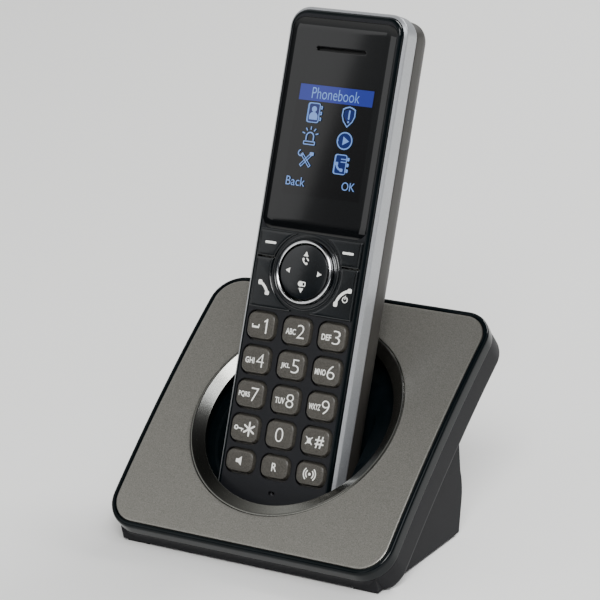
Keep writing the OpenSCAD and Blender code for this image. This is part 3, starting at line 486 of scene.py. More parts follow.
def crownHeight(depth):
    radius, middle = slab["crownRadius"], slab["chord"] / 2
    return lambda x, s: slab["crown"] - radius + math.sqrt(radius ** 2 - (s - middle) ** 2) - depth


def slabOutline(grow, inset):
    # outline of the slab: grow 0 is the plate, grow 2 is the rim
    return roundedOutline(slab["width"] + 2 * (grow - inset), slab["chord"] + 2 * (grow - inset),
                          slab["corner"] + grow - inset, (0, slab["chord"] / 2), 14, 16)


def matchedCircle(outline, radius):
    # points of the ring's circle on the same rays as an outline's points
    middle = Vector((0, slab["chord"] / 2))
    return [tuple(middle + (Vector(p) - middle).normalized() * radius) for p in outline]


plate = {
    "edge": [(0.75, 0), (0.4, 0.03), (0.15, 0.14), (0.02, 0.36), (0, 2)],  # inset and depth
    "holeEdge": [(0, 2), (0, 0.3), (0.12, 0.08)],
    "hole": 40.05, "holeRound": 0.4, "steps": 14,
}


def makePlate():
    bm = bmesh.new()
    edge = [addRing(bm, slabOutline(0, inset), crownHeight(depth)) for inset, depth in plate["edge"]]
    outer = slabOutline(0, plate["edge"][0][0])
    hole = plate["hole"]
    inner = matchedCircle(outer, hole + plate["holeRound"])
    steps = plate["steps"]
    top = [addRing(bm, [mix(a, b, i / steps) for a, b in zip(inner, outer)], crownHeight(0))
           for i in range(steps)]
    wall = [addRing(bm, matchedCircle(outer, hole + out), crownHeight(depth))
            for out, depth in plate["holeEdge"]]
    bridgeAll(bm, wall + top + edge, closed=True)
    finishPiece("basePlate", bm, slabFrame, platePaint, "base", ["base_top_plate"])


rim = {
    "profile": [(1.85, 2), (1.85, 0.32), (1.72, 0.1), (1.45, 0.0), (1.0, -0.02), (0.55, 0.1), (0.22, 0.4),
                (0.04, 0.9), (0, 1.5), (0, 4.5), (0.08, 4.85), (0.35, 5), (2, 5), (2, 4)],
    "hole": 37.55, "deckDepths": (4, 2),
}


def makeRim():
    bm = bmesh.new()
    rings = [addRing(bm, slabOutline(slab["rim"], inset), crownHeight(depth))
             for inset, depth in rim["profile"]]
    circle = matchedCircle(slabOutline(slab["rim"], rim["profile"][0][0]), rim["hole"])
    rings += [addRing(bm, circle, crownHeight(depth)) for depth in rim["deckDepths"]]
    bridgeAll(bm, rings, closed=True)
    finishPiece("baseRim", bm, slabFrame, glossBlack, "base", ["base_rim_housing"])


ring = {
    "profile": [(39.9, 2.1), (39.9, 0.25), (39.75, 0.06), (39.5, 0.0), (39.15, 0.02), (39.0, 0.1)],
    "inner": [(35.35, 2.28), (35.15, 2.42), (35.1, 2.6), (35.1, 4.2), (37.3, 4.2)],
    "count": 192,
}


def makeRing():
    bm = bmesh.new()
    middle = slab["chord"] / 2
    level = slab["crown"]
    rings = []
    for radius, depth in ring["profile"]:
        rings.append(addRing(bm, circleOutline(radius, (0, middle), ring["count"]), crownHeight(depth)))
    for radius, depth in ring["inner"]:
        rings.append(addRing(bm, circleOutline(radius, (0, middle), ring["count"]), level - depth))
    bridgeAll(bm, rings, closed=True)
    finishPiece("cradleRing", bm, slabFrame, darkChrome, "base", ["cradle_trim_ring"])


foot = {
    "inset": 5, "front": 4.3, "length": 55, "rake": 1.2, "low": 1, "floor": 1.6,
    "bulge": 4.3, "bulgeHeight": 17.5,
    "top": 130, "reach": 6, "steps": 6,  # the block's height before it is cut, and its rear bend
}


def footRear(height):
    return (slab["frontY"] + foot["front"] + foot["length"]
            + foot["bulge"] * (1 - abs(height - foot["bulgeHeight"]) / foot["bulgeHeight"]))


def footSolid(inset, low, depth):
    # a block with the foot's side profile, up to a depth inside the slab
    front = slab["frontY"] + foot["front"] + inset
    seam = slab["frontZ"] - slab["rimHigh"] * math.cos(math.radians(slab["slope"]))
    top, reach, steps = foot["top"], foot["reach"], foot["steps"]
    points = [(front, low), (front - foot["rake"], seam), (front - foot["rake"], top),
              (footRear(top / 4) - inset, top)]
    for i in range(2 * steps + 1):
        height = foot["bulgeHeight"] + reach * (1 - i / steps)
        soft = foot["bulge"] * reach / foot["bulgeHeight"] * (1 - (i / steps - 1) ** 2) / 2
        points.append((footRear(foot["bulgeHeight"] + reach) + soft - inset, height))
    points.append((footRear(low) - inset, low))
    half = slab["width"] / 2 + slab["rim"] - foot["inset"] - inset
    sideways = Matrix(((0, 0, 1, 0), (1, 0, 0, 0), (0, 1, 0, 0), (0, 0, 0, 1)))
    block = prism(points, -half, half, sideways)
    limit = prism(slabOutline(lower["past"], 0), -lower["far"], slab["crown"] - depth, slabFrame)
    return combine(block, limit, "INTERSECT")


def slabSolid(profile):
    bm = bmesh.new()
    rings = [addRing(bm, slabOutline(slab["rim"], inset), crownHeight(depth)) for inset, depth in profile]
    bridgeAll(bm, rings)
    fill(bm, rings[0])
    fill(bm, rings[-1])
    bm.transform(slabFrame)
    return bm


def boxSolid(low, high):
    outline = [(low[0], low[1]), (high[0], low[1]), (high[0], high[1]), (low[0], high[1])]
    return prism(outline, low[2], high[2])


lower = {
    "outside": [(0.5, 5.06), (0.22, 5.3), (0.2, 13), (0.4, 14), (0.95, 14.75), (1.9, 15)],  # inset and depth
    "inside": [(2.2, 3.5), (2.2, 12.4), (3.4, 13)],
    "footDepths": (5.3, 3.6),  # how deep in the slab the foot's outside and inside end
    "soft": 0.6, "softFrom": 40, "sharp": 28,
    "jackRoom": {"line_jack": 0.15, "dc_power_jack": -0.8}, "jackReach": 8,
    "buttonRoom": 0.6, "buttonFlange": 2.4, "buttonReach": (8, 6),
    "past": 60, "far": 90, "under": 40,  # sizes of the blocks that cut, well clear of the housing
}


def groundSolid(height):
    # everything below a height over the table
    far = lower["far"]
    return boxSolid((-far, -far, -lower["under"]), (far, far, height))


def makeLowerHousing():
    outsideDepth, insideDepth = lower["footDepths"]
    floor = foot["low"] + foot["floor"]
    outside = combine(slabSolid(lower["outside"]), footSolid(0, foot["low"], outsideDepth), "UNION")
    inside = combine(slabSolid(lower["inside"]), footSolid(slab["wall"], floor, insideDepth), "UNION")
    inside = combine(inside, groundSolid(floor), "DIFFERENCE")
    shell = combine(combine(outside, groundSolid(foot["low"]), "DIFFERENCE"), inside, "DIFFERENCE")
    for node, room in lower["jackRoom"].items():
        low, high = (Vector(corner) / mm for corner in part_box(node))
        low, high = low - Vector((room, 0, room)), high + Vector((room, lower["jackReach"], room))
        shell = combine(shell, boxSolid(low, high), "DIFFERENCE")
    low, high = (Vector(corner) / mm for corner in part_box("page_button"))
    less = lower["buttonFlange"] - lower["buttonRoom"]
    wide, tall = high.x - low.x - less, high.z - low.z - less
    slot = roundedOutline(wide, tall, tall / 2 - 0.2, (0, (high.z + low.z) / 2))
    upright = Matrix(((1, 0, 0, 0), (0, 0, -1, 0), (0, 1, 0, 0), (0, 0, 0, 1)))
    behind, ahead = lower["buttonReach"]
    shell = combine(shell, prism(slot, -high.y - behind, -high.y + ahead, upright), "DIFFERENCE")
    piece, _ = finishPiece("lowerHousing", shell, tableFrame, caseGrey, "base",
                           ["base_lower_housing"], sharp=lower["sharp"], weighted=False)
    bevel = piece.modifiers.new("soft edges", "BEVEL")
    bevel.width = lower["soft"] * mm
    bevel.segments = 3
    bevel.limit_method = "ANGLE"
    bevel.angle_limit = math.radians(lower["softFrom"])
    bevel.harden_normals = True
    normals = piece.modifiers.new("normals", "WEIGHTED_NORMAL")
    normals.keep_sharp = True


makePlate()
makeRim()
makeRing()
makeLowerHousing()
print("base made")


def handsetOutline(inset):
    return roundedOutline(handset["width"] - 2 * inset, handset["length"] - 2 * inset,
                          max(handset["corner"] - inset, handset["leastCorner"]),
                          (0, handset["length"] / 2), 14)


band = {"profile": [(1.2, -10.6), (1.2, -2.4), (1.08, -2.3), (0.28, -2.95), (0.1, -3.15), (0.02, -3.45),
                    (0, -3.9), (0, -8.9), (0.03, -9.15), (0.12, -9.35), (0.55, -10.45), (0.72, -10.6)]}


def makeBand():
    bm = bmesh.new()
    rings = [addRing(bm, handsetOutline(inset), height) for inset, height in band["profile"]]
    bridgeAll(bm, rings, closed=True)
    finishPiece("sideBand", bm, handsetFrame, satinSilver, "handset", ["handset_side_band"])


back = {
    "step": 0.6, "edgeRound": 8, "endRound": 6, "wall": 1.6, "floor": -20.9, "edge": 0.15,
    "lip": [(2.4, -10.66), (1.1, -10.66), (0.75, -10.8)],  # inset and level
    "levels": [-11.1, -13, -15, -16.2, -17.4, -18.6, -19.6, -20.5, -21.3, -21.9, -22.4, -22.75, -22.95, -23],
    "insideLevels": [-13, -16, -18, -19.6, -20.5, -20.9],
    "slots": 5, "slotPitch": 3, "slotMiddle": 34,
    "slotLong": 15, "slotLess": 2, "slotWide": 1.2, "slotRound": 0.55,
    "screwIn": 11, "screwDrop": 14, "screwWide": 2.8, "screwRound": 1.39,
    "doorLow": 61, "doorWide": 28, "doorLong": 57.5, "doorThick": 1.4, "doorCorner": 1,
    "travel": 6, "spare": 0.3, "gap": 0.15, "under": 0.1, "seatEdge": 0.12,
    "bayLow": 65, "bayWide": 22, "bayLong": 49.5, "bayCorner": 0.8,
}


def backRing(bm, level, wall=0):
    # the back's long edges and its ends round off over different radii
    def draw(radius):
        start = -handset["thick"] + radius
        fall = min(max(start - level, 0), radius - wall)
        return radius - wall - math.sqrt(max((radius - wall) ** 2 - fall ** 2, 0))
    width = handset["width"] - 2 * (back["step"] + wall + draw(back["edgeRound"]))
    length = handset["length"] - 2 * (back["step"] + wall + draw(back["endRound"]))
    radius = handset["corner"] - back["step"] - wall
    return addRing(bm, roundedOutline(width, length, radius, (0, handset["length"] / 2), 14, 1), level)


def rectangle(width, length, radius, centre):
    return lambda grow: roundedOutline(width + 2 * grow, length + 2 * grow, radius + grow, centre, 5)


def makeBack():
    bm = bmesh.new()
    rear = -handset["thick"]
    lip = [addRing(bm, handsetOutline(inset), level) for inset, level in back["lip"]]
    outside = lip + [backRing(bm, level) for level in back["levels"]]
    bridgeAll(bm, outside)
    inside = [lip[0]] + [backRing(bm, level, back["wall"]) for level in back["insideLevels"]]
    bridgeAll(bm, inside)
    holes = []
    # slots of the loudspeaker, shorter towards the ends, then the two screws' holes
    for i in range(-(back["slots"] // 2), back["slots"] // 2 + 1):
        place = (0, handset["length"] - back["slotMiddle"] + back["slotPitch"] * i)
        wide = back["slotLong"] - abs(i) * back["slotLess"]
        holes.append(rectangle(wide, back["slotWide"], back["slotRound"], place))
    screwX = handset["width"] / 2 - back["step"] - back["screwIn"]
    holes += [rectangle(back["screwWide"], back["screwWide"], back["screwRound"],
                        (side * screwX, handset["length"] - back["screwDrop"])) for side in (-1, 1)]
    tops, bottoms = [outside[-1]], [inside[-1]]
    for hole in holes:
        rings = [addRing(bm, hole(grow), level)
                 for grow, level in ((back["edge"], rear), (0, rear + back["edge"]), (0, back["floor"]))]
        bridgeAll(bm, rings)
        tops.append(rings[0])
        bottoms.append(rings[-1])
    low = back["doorLow"] - back["travel"] - back["spare"]
    high = back["doorLow"] + back["doorLong"] + back["gap"]
    wide = back["doorWide"] + 2 * back["gap"]
    seat = rectangle(wide, high - low, back["doorCorner"], (0, (low + high) / 2))
    depth = rear + back["doorThick"] + back["under"]
    rings = [addRing(bm, seat(grow), level)
             for grow, level in ((back["seatEdge"], rear), (0, rear + back["seatEdge"]), (0, depth))]
    bridgeAll(bm, rings)
    tops.append(rings[0])
    middle = (0, back["bayLow"] + back["bayLong"] / 2)
    bay = rectangle(back["bayWide"], back["bayLong"], back["bayCorner"], middle)
    bayRings = [addRing(bm, bay(0), depth), addRing(bm, bay(0), back["floor"])]
    bridgeAll(bm, bayRings)
    fill(bm, rings[-1], bayRings[0])
    bottoms.append(bayRings[-1])
    fill(bm, *tops)
    fill(bm, *bottoms)
    finishPiece("backShell", bm, handsetFrame, backGrey, "handset", ["handset_rear_shell"])


door = {
    "edge": [(0.3, 0), (0.1, 0.06), (0, 0.25), (0, back["doorThick"])],  # inset and depth
    "ribs": 4, "ribPitch": 2.2, "ribLow": 4.5, "ribWide": 12, "ribHigh": 1, "ribRound": 0.45,
    "ribEdge": [(0.15, 0), (0, 0.12), (-0.15, 0.5)],
}


def makeDoor():
    bm = bmesh.new()
    rear = -handset["thick"]
    middle = (0, back["doorLow"] + back["doorLong"] / 2)
    outline = rectangle(back["doorWide"], back["doorLong"], back["doorCorner"], middle)
    edge = [addRing(bm, outline(-inset), rear + depth) for inset, depth in door["edge"]]
    bridgeAll(bm, edge)
    tops = [edge[0]]
    for i in range(door["ribs"]):
        up = back["doorLow"] + door["ribLow"] + door["ribPitch"] * i
        grip = rectangle(door["ribWide"], door["ribHigh"], door["ribRound"], (0, up))
        rings = [addRing(bm, grip(grow), rear + depth) for grow, depth in door["ribEdge"]]
        bridgeAll(bm, rings)
        fill(bm, rings[-1])
        tops.append(rings[0])
    fill(bm, *tops)
    fill(bm, edge[-1])
    finishPiece("batteryDoor", bm, handsetFrame, backGrey, "battery_door", ["battery_door"])


keypad = {"wide": 11.7, "high": 9.9, "lowHigh": 8.3, "corner": 3, "columns": 14.4, "rows": 12.06,
          "lowRow": 16.4, "lowPitch": 11.3, "gap": 0.4}
block = {"half": 20.7, "top": 97.4, "seam": 88, "low": 70.2, "arc": 14, "inner": 4, "gap": 0.2,
         "soft": 0.5, "softSteps": 4, "arcSteps": 16}
navigation = {"up": 84.4, "ring": 11.1}
lens = {"low": 98, "topGap": 4, "wide": 42.4, "corner": 4.5, "top": -0.42, "foot": -1.75,
        "roll": 3.9, "rollSize": 26, "insets": (0, 0.05, 0.4, 0.9, 1.5, 2.1, 2.7, 3.3, 3.9, 4.3)}
earpiece = {"drop": 14.5, "half": 10, "high": 1.4}
mouthpiece = {"wide": 2.5, "high": 1.3, "corner": 0.62, "up": 7.2}
dialNames = [["key_speaker", "key_recall", "key_intercom"], ["key_star", "key_0", "key_hash"],
             ["key_7", "key_8", "key_9"], ["key_4", "key_5", "key_6"], ["key_1", "key_2", "key_3"]]


def dialPlace(row, column):
    up = keypad["lowRow"] if row == 0 else keypad["lowRow"] + keypad["lowPitch"] + keypad["rows"] * (row - 1)
    return (column - 1) * keypad["columns"], up, keypad["lowHigh"] if row == 0 else keypad["high"]


def dialOutline(row, column):
    x, up, high = dialPlace(row, column)
    return lambda grow: roundedOutline(keypad["wide"] + 2 * grow, high + 2 * grow, keypad["corner"] + grow,
                                       (x, up), 8)


def blockOutline(side, low, high):
    # one side of the soft and call keys' block, between two distances up from the chin
    def outline(grow):
        bottom, top, reach, radius = low - grow, high + grow, block["half"] + grow, block["arc"] - grow
        middle = navigation["up"]

        def across(up):
            return max(math.sqrt(max(radius ** 2 - (up - middle) ** 2, 0)), block["inner"] - grow)

        lowest = -math.cos(math.asin((block["inner"] - grow) / radius))
        start = math.asin(min(max((bottom - middle) / radius, lowest), 1))
        end = math.asin(min((top - middle) / radius, 1))
        soft, steps = block["soft"] + grow, block["softSteps"]
        points = []
        for cy, turn in ((top - soft, 1), (bottom + soft, 0)):
            angles = [math.pi / 2 * (turn - k / steps) for k in range(steps + 1)]
            points += [(reach - soft + soft * math.cos(a), cy + soft * math.sin(a)) for a in angles]
        points.append((across(bottom), bottom))
        steps = block["arcSteps"]
        angles = [start + (end - start) * k / steps for k in range(steps + 1)]
        points += [(radius * math.cos(a), middle + radius * math.sin(a)) for a in angles]
        points.append((across(top) + 0.05, top))
        flipped = [(side * x, y) for x, y in points]
        return flipped[::side]
    return outline


def circleHole(radius, centre):
    return lambda grow: circleOutline(radius + grow, centre, 48)


front = {
    "edge": [(2.7, handset["face"]), (2.3, -0.83), (1.95, -0.95), (1.65, -1.2), (1.45, -1.55), (1.32, -2.1),
             (1.3, -2.7), (1.3, -9.6), (2.3, -9.6), (2.3, handset["faceBack"])],  # inset and level
    "holeEdge": [(0.16, handset["face"]), (0.05, -0.84), (0, -0.95), (0, handset["faceBack"])],
    "seatEdge": [(0.1, handset["face"]), (0, -0.9), (0, -1.8)],
    "lensRoom": 0.1, "ringRoom": 0.1, "glossRings": 6,
}


def makeFront():
    bm = bmesh.new()
    holes = [dialOutline(row, column) for row in range(5) for column in range(3)]
    holes = [lambda grow, hole=hole: hole(grow + keypad["gap"]) for hole in holes]
    sides = [blockOutline(side, block["low"], block["top"]) for side in (-1, 1)]
    holes += [lambda grow, side=side: side(grow + block["gap"]) for side in sides]
    holes.append(circleHole(navigation["ring"] + front["ringRoom"], (0, navigation["up"])))
    holes.append(rectangle(mouthpiece["wide"], mouthpiece["high"], mouthpiece["corner"],
                           (0, mouthpiece["up"])))
    tops, bottoms = holedPlate(bm, handsetOutline, front["edge"], holes, front["holeEdge"])
    rim = list(bm.faces)[:len(tops[0]) * front["glossRings"]]
    for face in rim:
        face.material_index = 1
    seat = lensOutline(front["lensRoom"])
    rings = [addRing(bm, seat(grow), level) for grow, level in front["seatEdge"]]
    bridgeAll(bm, rings)
    slot = [addRing(bm, slotOutline(0), level) for level in (front["seatEdge"][-1][1], handset["faceBack"])]
    bridgeAll(bm, slot)
    fill(bm, rings[-1], slot[0])
    fill(bm, *tops, rings[0])
    fill(bm, *bottoms, slot[-1])
    shell, _ = finishPiece("frontShell", bm, handsetFrame, faceBlack, "handset",
                           ["handset_front_shell"])
    shell.data.materials.append(glossBlack)


blockSheet = {"edge": [(0, -0.72), (0, -0.79)], "below": 0.25, "above": 0.15, "beside": 0.3, "corner": 0.4,
              "under": 0.15}


def makeBlockSheet():
    # the keys' block is glossy between its keys too
    low, high = block["low"] - blockSheet["below"], lens["low"] - blockSheet["above"]
    wide = 2 * (block["half"] + blockSheet["beside"])
    sheet = rectangle(wide, high - low, blockSheet["corner"], (0, (low + high) / 2))
    sides = [blockOutline(side, block["low"], block["top"]) for side in (-1, 1)]
    holes = [lambda grow, side=side: side(grow - blockSheet["under"]) for side in sides]
    holes.append(circleHole(navigation["ring"] + blockSheet["under"], (0, navigation["up"])))
    bm = bmesh.new()
    tops, bottoms = holedPlate(bm, sheet, blockSheet["edge"], holes, blockSheet["edge"])
    fill(bm, *tops)
    fill(bm, *bottoms)
    finishPiece("keyBlockSheet", bm, handsetFrame, glossKey, "handset")


def lensOutline(more):
    length = handset["length"] - lens["topGap"] - lens["low"]
    return rectangle(lens["wide"] + 2 * more, length + 2 * more, lens["corner"],
                     (0, lens["low"] + length / 2))


def slotOutline(grow):
    place = (0, handset["length"] - earpiece["drop"])
    return rectangle(2 * earpiece["half"], earpiece["high"], earpiece["high"] / 2 - 0.01, place)(grow)


def makeLens():
    bm = bmesh.new()
    top = lens["top"]
    edge = [(0, lens["foot"])]
    edge += [(-inset, top - max(lens["roll"] - inset, 0) ** 2 / lens["rollSize"]) for inset in lens["insets"]]
    edge.reverse()
    holeEdge = [(0.3, top), (0.1, top), (0.02, top - 0.04), (0, top - 0.15), (0, lens["foot"])]
    tops, bottoms = holedPlate(bm, lensOutline(0), edge, [slotOutline], holeEdge)
    fill(bm, *tops)
    fill(bm, *bottoms)
    return finishPiece("displayLens", bm, handsetFrame, lensBlack, "handset",
                       ["display_lens"])


def rotated(points, angle):
    return [(x * math.cos(angle) - y * math.sin(angle), x * math.sin(angle) + y * math.cos(angle))
            for x, y in points]


book = {"wide": 5.0, "high": 7.0, "corner": 0.9, "line": 0.35, "x": -0.3, "tabs": (-2, 0, 2)}


def bookFill():
    return [shape(roundedOutline(4.6, 6.6, 0.9, (-0.4, 0)))] + [
        stroke(0.7, (2.3, y), (2.75, y)) for y in book["tabs"]]


def bookOutline():
    wide, high, corner, line = book["wide"], book["high"], book["corner"], book["line"]
    cover = shape(roundedOutline(wide, high, corner, (book["x"], 0)),
                  roundedOutline(wide - 2 * line, high - 2 * line, 0.6, (book["x"], 0)))
    return [cover] + [shape(roundedOutline(0.8, 1.2, 0.3, (2.7, y))) for y in book["tabs"]]


def person():
    return [shape(circleOutline(1.0, (-0.4, 1.3))),
            shape([(-2.0, -2.4)] + arc((-0.4, -1.4), 1.7, 180, 0) + [(1.2, -2.4)])]


def shieldFill():
    corners = [(0, 3.4), (2.5, 2.5), (2.6, 0.2), (0, -3.4), (-2.6, 0.2), (-2.5, 2.5)]
    return [shape([(x * 0.8, y * 0.8) for x, y in corners])]


def shield():
    corners = [(0, 3.6), (1.5, 3.2), (2.6, 2.6), (2.7, 0.2), (1.9, -1.8), (0, -3.8),
               (-1.9, -1.8), (-2.7, 0.2), (-2.6, 2.6), (-1.5, 3.2)]
    inner = [(x * 0.84, y * 0.86) for x, y in corners]
    return [shape(corners, inner), stroke(0.62, (0, 2.0), (0, -0.7)),
            shape(circleOutline(0.36, (0, -1.8), 16))]


def siren():
    dome = [(-1.7, -1.3)] + arc((0, 0), 1.7, 180, 0) + [(1.7, -1.3)]
    hollow = [(-1.25, -1.3)] + arc((0, 0), 1.25, 180, 0) + [(1.25, -1.3)]
    rays = [stroke(0.4, (2.4 * math.cos(a), 0.3 + 2.3 * math.sin(a)),
                   (3.2 * math.cos(a), 0.3 + 3.1 * math.sin(a)))
            for a in (math.radians(t) for t in (18, 54, 90, 126, 162))]
    plinth = shape(roundedOutline(4.8, 1.4, 0.4, (0, -2.2)), roundedOutline(4.1, 0.7, 0.2, (0, -2.2)))
    return [shape(dome, hollow), plinth] + rays


def tools():
    def bar(angle):
        return [rotated([(x, y), (x, -y), (-x, -y), (-x, y)], math.radians(angle))
                for x, y in ((0.55, 2.9), (0.25, 2.6))]
    return [shape(*bar(42)), shape(*bar(-42)), stroke(0.42, *arc((-2.3, 2.3), 1.0, 110, 340)),
            shape(roundedOutline(1.6, 1.2, 0.3, (2.1, 2.3)))]


def playMark():
    return [shape(circleOutline(3.1, (0, 0), 40), circleOutline(2.65, (0, 0), 40)),
            shape([(-0.9, 1.5), (1.6, 0), (-0.9, -1.5)])]


def smallHandset(size):
    spine = arc((1.6, 1.6), 2.6, 180, 270)
    marks = [stroke(0.9, *spine), shape(roundedOutline(1.4, 1.5, 0.4, spine[0])),
             shape(roundedOutline(1.5, 1.4, 0.4, spine[-1]))]
    return moved(marks, -0.6 * size, -0.6 * size, size)


picture = {
    "wide": 31, "high": 39, "up": 130.2,
    "shift": 0.7,  # the picture lies deeper than the lens's face, so it seems to stand to the right
    "header": (29.6, 5.6), "headerRight": 0.15, "headerDrop": 3.3,
    "left": -7.5, "right": 6.5, "rows": (9.3, 0.9, -7.3),  # places of the icons' columns and rows
}


def printPicture(name, marks, surface, material):
    _, face = printMarks(name, marks, (picture["shift"], picture["up"]), surface, handsetFrame, material,
                         "handset")
    return face


def makePicture(surface):
    left, right = picture["left"], picture["right"]
    upper, middle, lower = picture["rows"]
    headerUp = picture["high"] / 2 - picture["headerDrop"]
    sheet = [shape(roundedOutline(picture["wide"], picture["high"], 0.25))]
    screen = printPicture("displayPicture", sheet, surface, pictureBlack)
    header = [shape(roundedOutline(*picture["header"], 0.1, (picture["headerRight"], headerUp)))]
    bar = printPicture("displayHeader", header, screen, headerBlue)
    fills = moved(bookFill(), left + 0.1, upper) + [
        shape(circleOutline(2.65, (right, middle), 36)),
        shape(roundedOutline(4.3, 6.3, 0.6, (right - 0.3, lower)))] + moved(shieldFill(), right, upper)
    icons = printPicture("displayIconFills", fills, screen, iconBlue)
    lines = (moved(bookOutline() + person(), left + 0.2, upper) + moved(shield(), right, upper)
             + moved(siren(), left, middle) + moved(playMark(), right, middle)
             + moved(tools(), left - 0.3, lower)
             + moved(bookOutline(), right, lower) + moved(smallHandset(0.8), right - 0.6, lower - 0.6)
             + [stroke(0.35, (right - 0.3, lower + y), (right + 1.5, lower + y)) for y in (1.9, 0.9)]
             + [word("Back", -10.5, -15.0, 3.1, 7.6, -0.004), word("OK", 10.8, -14.6, 2.9, 5.2, -0.004)])
    printPicture("displayIcons", lines, icons, iconLight)
    printPicture("displayTitle", [word("Phonebook", 0, headerUp, 3.9, 19.2, -0.006)], bar, iconLight)


dial = {
    "edge": [(0, -2.45), (-0.2, -1.4), (-0.42, -0.6), (-0.46, -0.32), (-0.56, -0.14), (-0.76, -0.02),
             (-1.1, 0.05), (-1.9, 0.08)],  # growth and level of the cap's rings
    "flangeGrow": 0.85, "flangeThick": 0.5, "flangeLess": 0.4, "flangeCorner": 3.6,
    "stem": 2.4, "stemTip": -4.45,
    "digitHigh": 4.8, "digitWide": 3.1, "digitX": 2.05, "lettersHigh": 2.1, "inkWeight": -0.016,
}


def dialMarks():
    def pair(letters, digit, wide, x=-1.95):
        return [word(letters, x, -0.3, dial["lettersHigh"], wide, 0.02),
                word(digit, dial["digitX"], 0.05, dial["digitHigh"], dial["digitWide"], dial["inkWeight"])]
    marks = {"key_2": pair("ABC", "2", 4.0), "key_3": pair("DEF", "3", 3.8),
             "key_4": pair("GHI", "4", 3.7, -2.1), "key_5": pair("JKL", "5", 3.6),
             "key_6": pair("MNO", "6", 4.3, -2.15), "key_7": pair("PQRS", "7", 4.6, -2.2),
             "key_8": pair("TUV", "8", 3.9), "key_9": pair("WXYZ", "9", 4.7, -2.25)}
    marks["key_1"] = [stroke(0.5, (-3.3, 0.1), (-3.3, -0.7), (-0.7, -0.7), (-0.7, 0.1)),
                      stroke(0.55, (2.4, 2.35), (2.4, -2.35)), stroke(0.5, (1.5, 1.55), (2.4, 2.2))]
    star = [stroke(0.62, (2.3 * math.sin(a), 2.3 * math.cos(a)), (-2.3 * math.sin(a), -2.3 * math.cos(a)))
            for a in (math.radians(t) for t in (0, 58, -58))]
    bow = [shape(circleOutline(0.85, (-3.3, 0), 20), circleOutline(0.42, (-3.3, 0), 20)),
           stroke(0.42, (-2.5, -0.05), (-0.5, -0.3)), stroke(0.4, (-0.9, -0.3), (-1.0, -0.95))]
    marks["key_star"] = moved(star, 2.0, 0) + bow
    marks["key_0"] = [word("0", 0, 0, 4.9, 3.2, dial["inkWeight"])]
    bell = [(-1.0, -0.9), (-0.75, -0.3)] + arc((0, 0.2), 0.75, 180, 0, 8) + [(0.75, -0.3), (1.0, -0.9)]
    cross = [stroke(0.35, (-1.2, 1.2), (1.2, -1.2)), stroke(0.35, (-1.2, -1.2), (1.2, 1.2))]
    marks["key_hash"] = moved([shape(bell)] + cross, -2.3, 0) + [word("#", 1.9, 0, 4.2, 3.5, 0.01)]
    marks["key_speaker"] = [shape(roundedOutline(1.1, 1.3, 0.2, (-0.75, 0))),
                            shape([(-0.4, 0.6), (0.9, 1.6), (0.9, -1.6), (-0.4, -0.6)])]
    marks["key_recall"] = [word("R", 0, 0, 2.9, 2.0, 0.01)]
    waves = [stroke(0.42, *arc((0, 0), radius, side - 48, side + 48))
             for radius in (1.5, 2.4) for side in (0, 180)]
    marks["key_intercom"] = waves + [shape(circleOutline(0.5, (0, 0), 20))]
    return marks


def makeDialKeys():
    marks = dialMarks()
    for row, names in enumerate(dialNames):
        for column, name in enumerate(names):
            x, up, high = dialPlace(row, column)
            outline = dialOutline(row, column)
            bm = bmesh.new()
            count = len(outline(0))
            low = dial["edge"][0][1]
            under = low - dial["flangeThick"]
            stem = [addRing(bm, circleOutline(dial["stem"], (x, up), count), level)
                    for level in (dial["stemTip"], under)]
            more = 2 * dial["flangeGrow"]
            flangeOutline = roundedOutline(keypad["wide"] + more, high + more - dial["flangeLess"],
                                           dial["flangeCorner"], (x, up), 8)
            flange = [addRing(bm, flangeOutline, level) for level in (under, low)]
            cap = [addRing(bm, outline(inset), level) for inset, level in dial["edge"]]
            bridgeAll(bm, stem + flange + cap)
            fill(bm, stem[0])
            fill(bm, cap[-1])
            if name == "key_5":
                addTactileBar(bm, x, up - tactile["drop"])
            _, surface = finishPiece("cap_" + name, bm, handsetFrame, keyGrey, name, [name])
            printMarks("legend_" + name, marks[name], (x, up), surface, handsetFrame, whiteInk, name)


tactile = {"long": 2.6, "wide": 0.7, "corner": 0.34, "drop": 3.4,
           "edge": [(0, 0.0), (0.05, 0.16), (0.18, 0.24)]}


def addTactileBar(bm, x, up):
    # a raised bar that the thumb finds
    rings = [addRing(bm, roundedOutline(tactile["long"] - 2 * inset, tactile["wide"] - 2 * inset,
                                        tactile["corner"] - inset, (x, up), 6), level)
             for inset, level in tactile["edge"]]
    bridgeAll(bm, rings)
    fill(bm, rings[0])
    fill(bm, rings[-1])


def callMarks():
    talkSpine = arc((-19.6, 73.4), 5.9, 68, 20)
    offSpine = arc((19.9, 74.4), 6.1, 102, 172)
    dash = roundedOutline(4.4, 0.85, 0.3, (15.7, 93.0))
    return {
        "talk_key": [stroke(1.0, *talkSpine), shape(roundedOutline(1.5, 1.7, 0.5, talkSpine[0])),
                     shape(roundedOutline(1.7, 1.5, 0.5, talkSpine[-1]))],
        "off_key": [stroke(1.0, *offSpine), shape(roundedOutline(1.7, 1.6, 0.5, offSpine[0])),
                    shape(roundedOutline(1.6, 1.7, 0.5, offSpine[-1])),
                    stroke(0.32, *arc((17.3, 77.2), 0.95, 120, 420, 20)),
                    stroke(0.32, (17.3, 78.5), (17.3, 77.4))],
        "soft_key_left": [shape([(-x, y) for x, y in dash])],
        "soft_key_right": [shape(dash)],
    }


blockKey = {
    "edge": [(-0.05, -2.95), (-0.05, -0.35), (-0.1, -0.16), (-0.24, -0.04), (-0.45, 0), (-1.0, 0.03)],
    "seamHalf": 0.2,
}


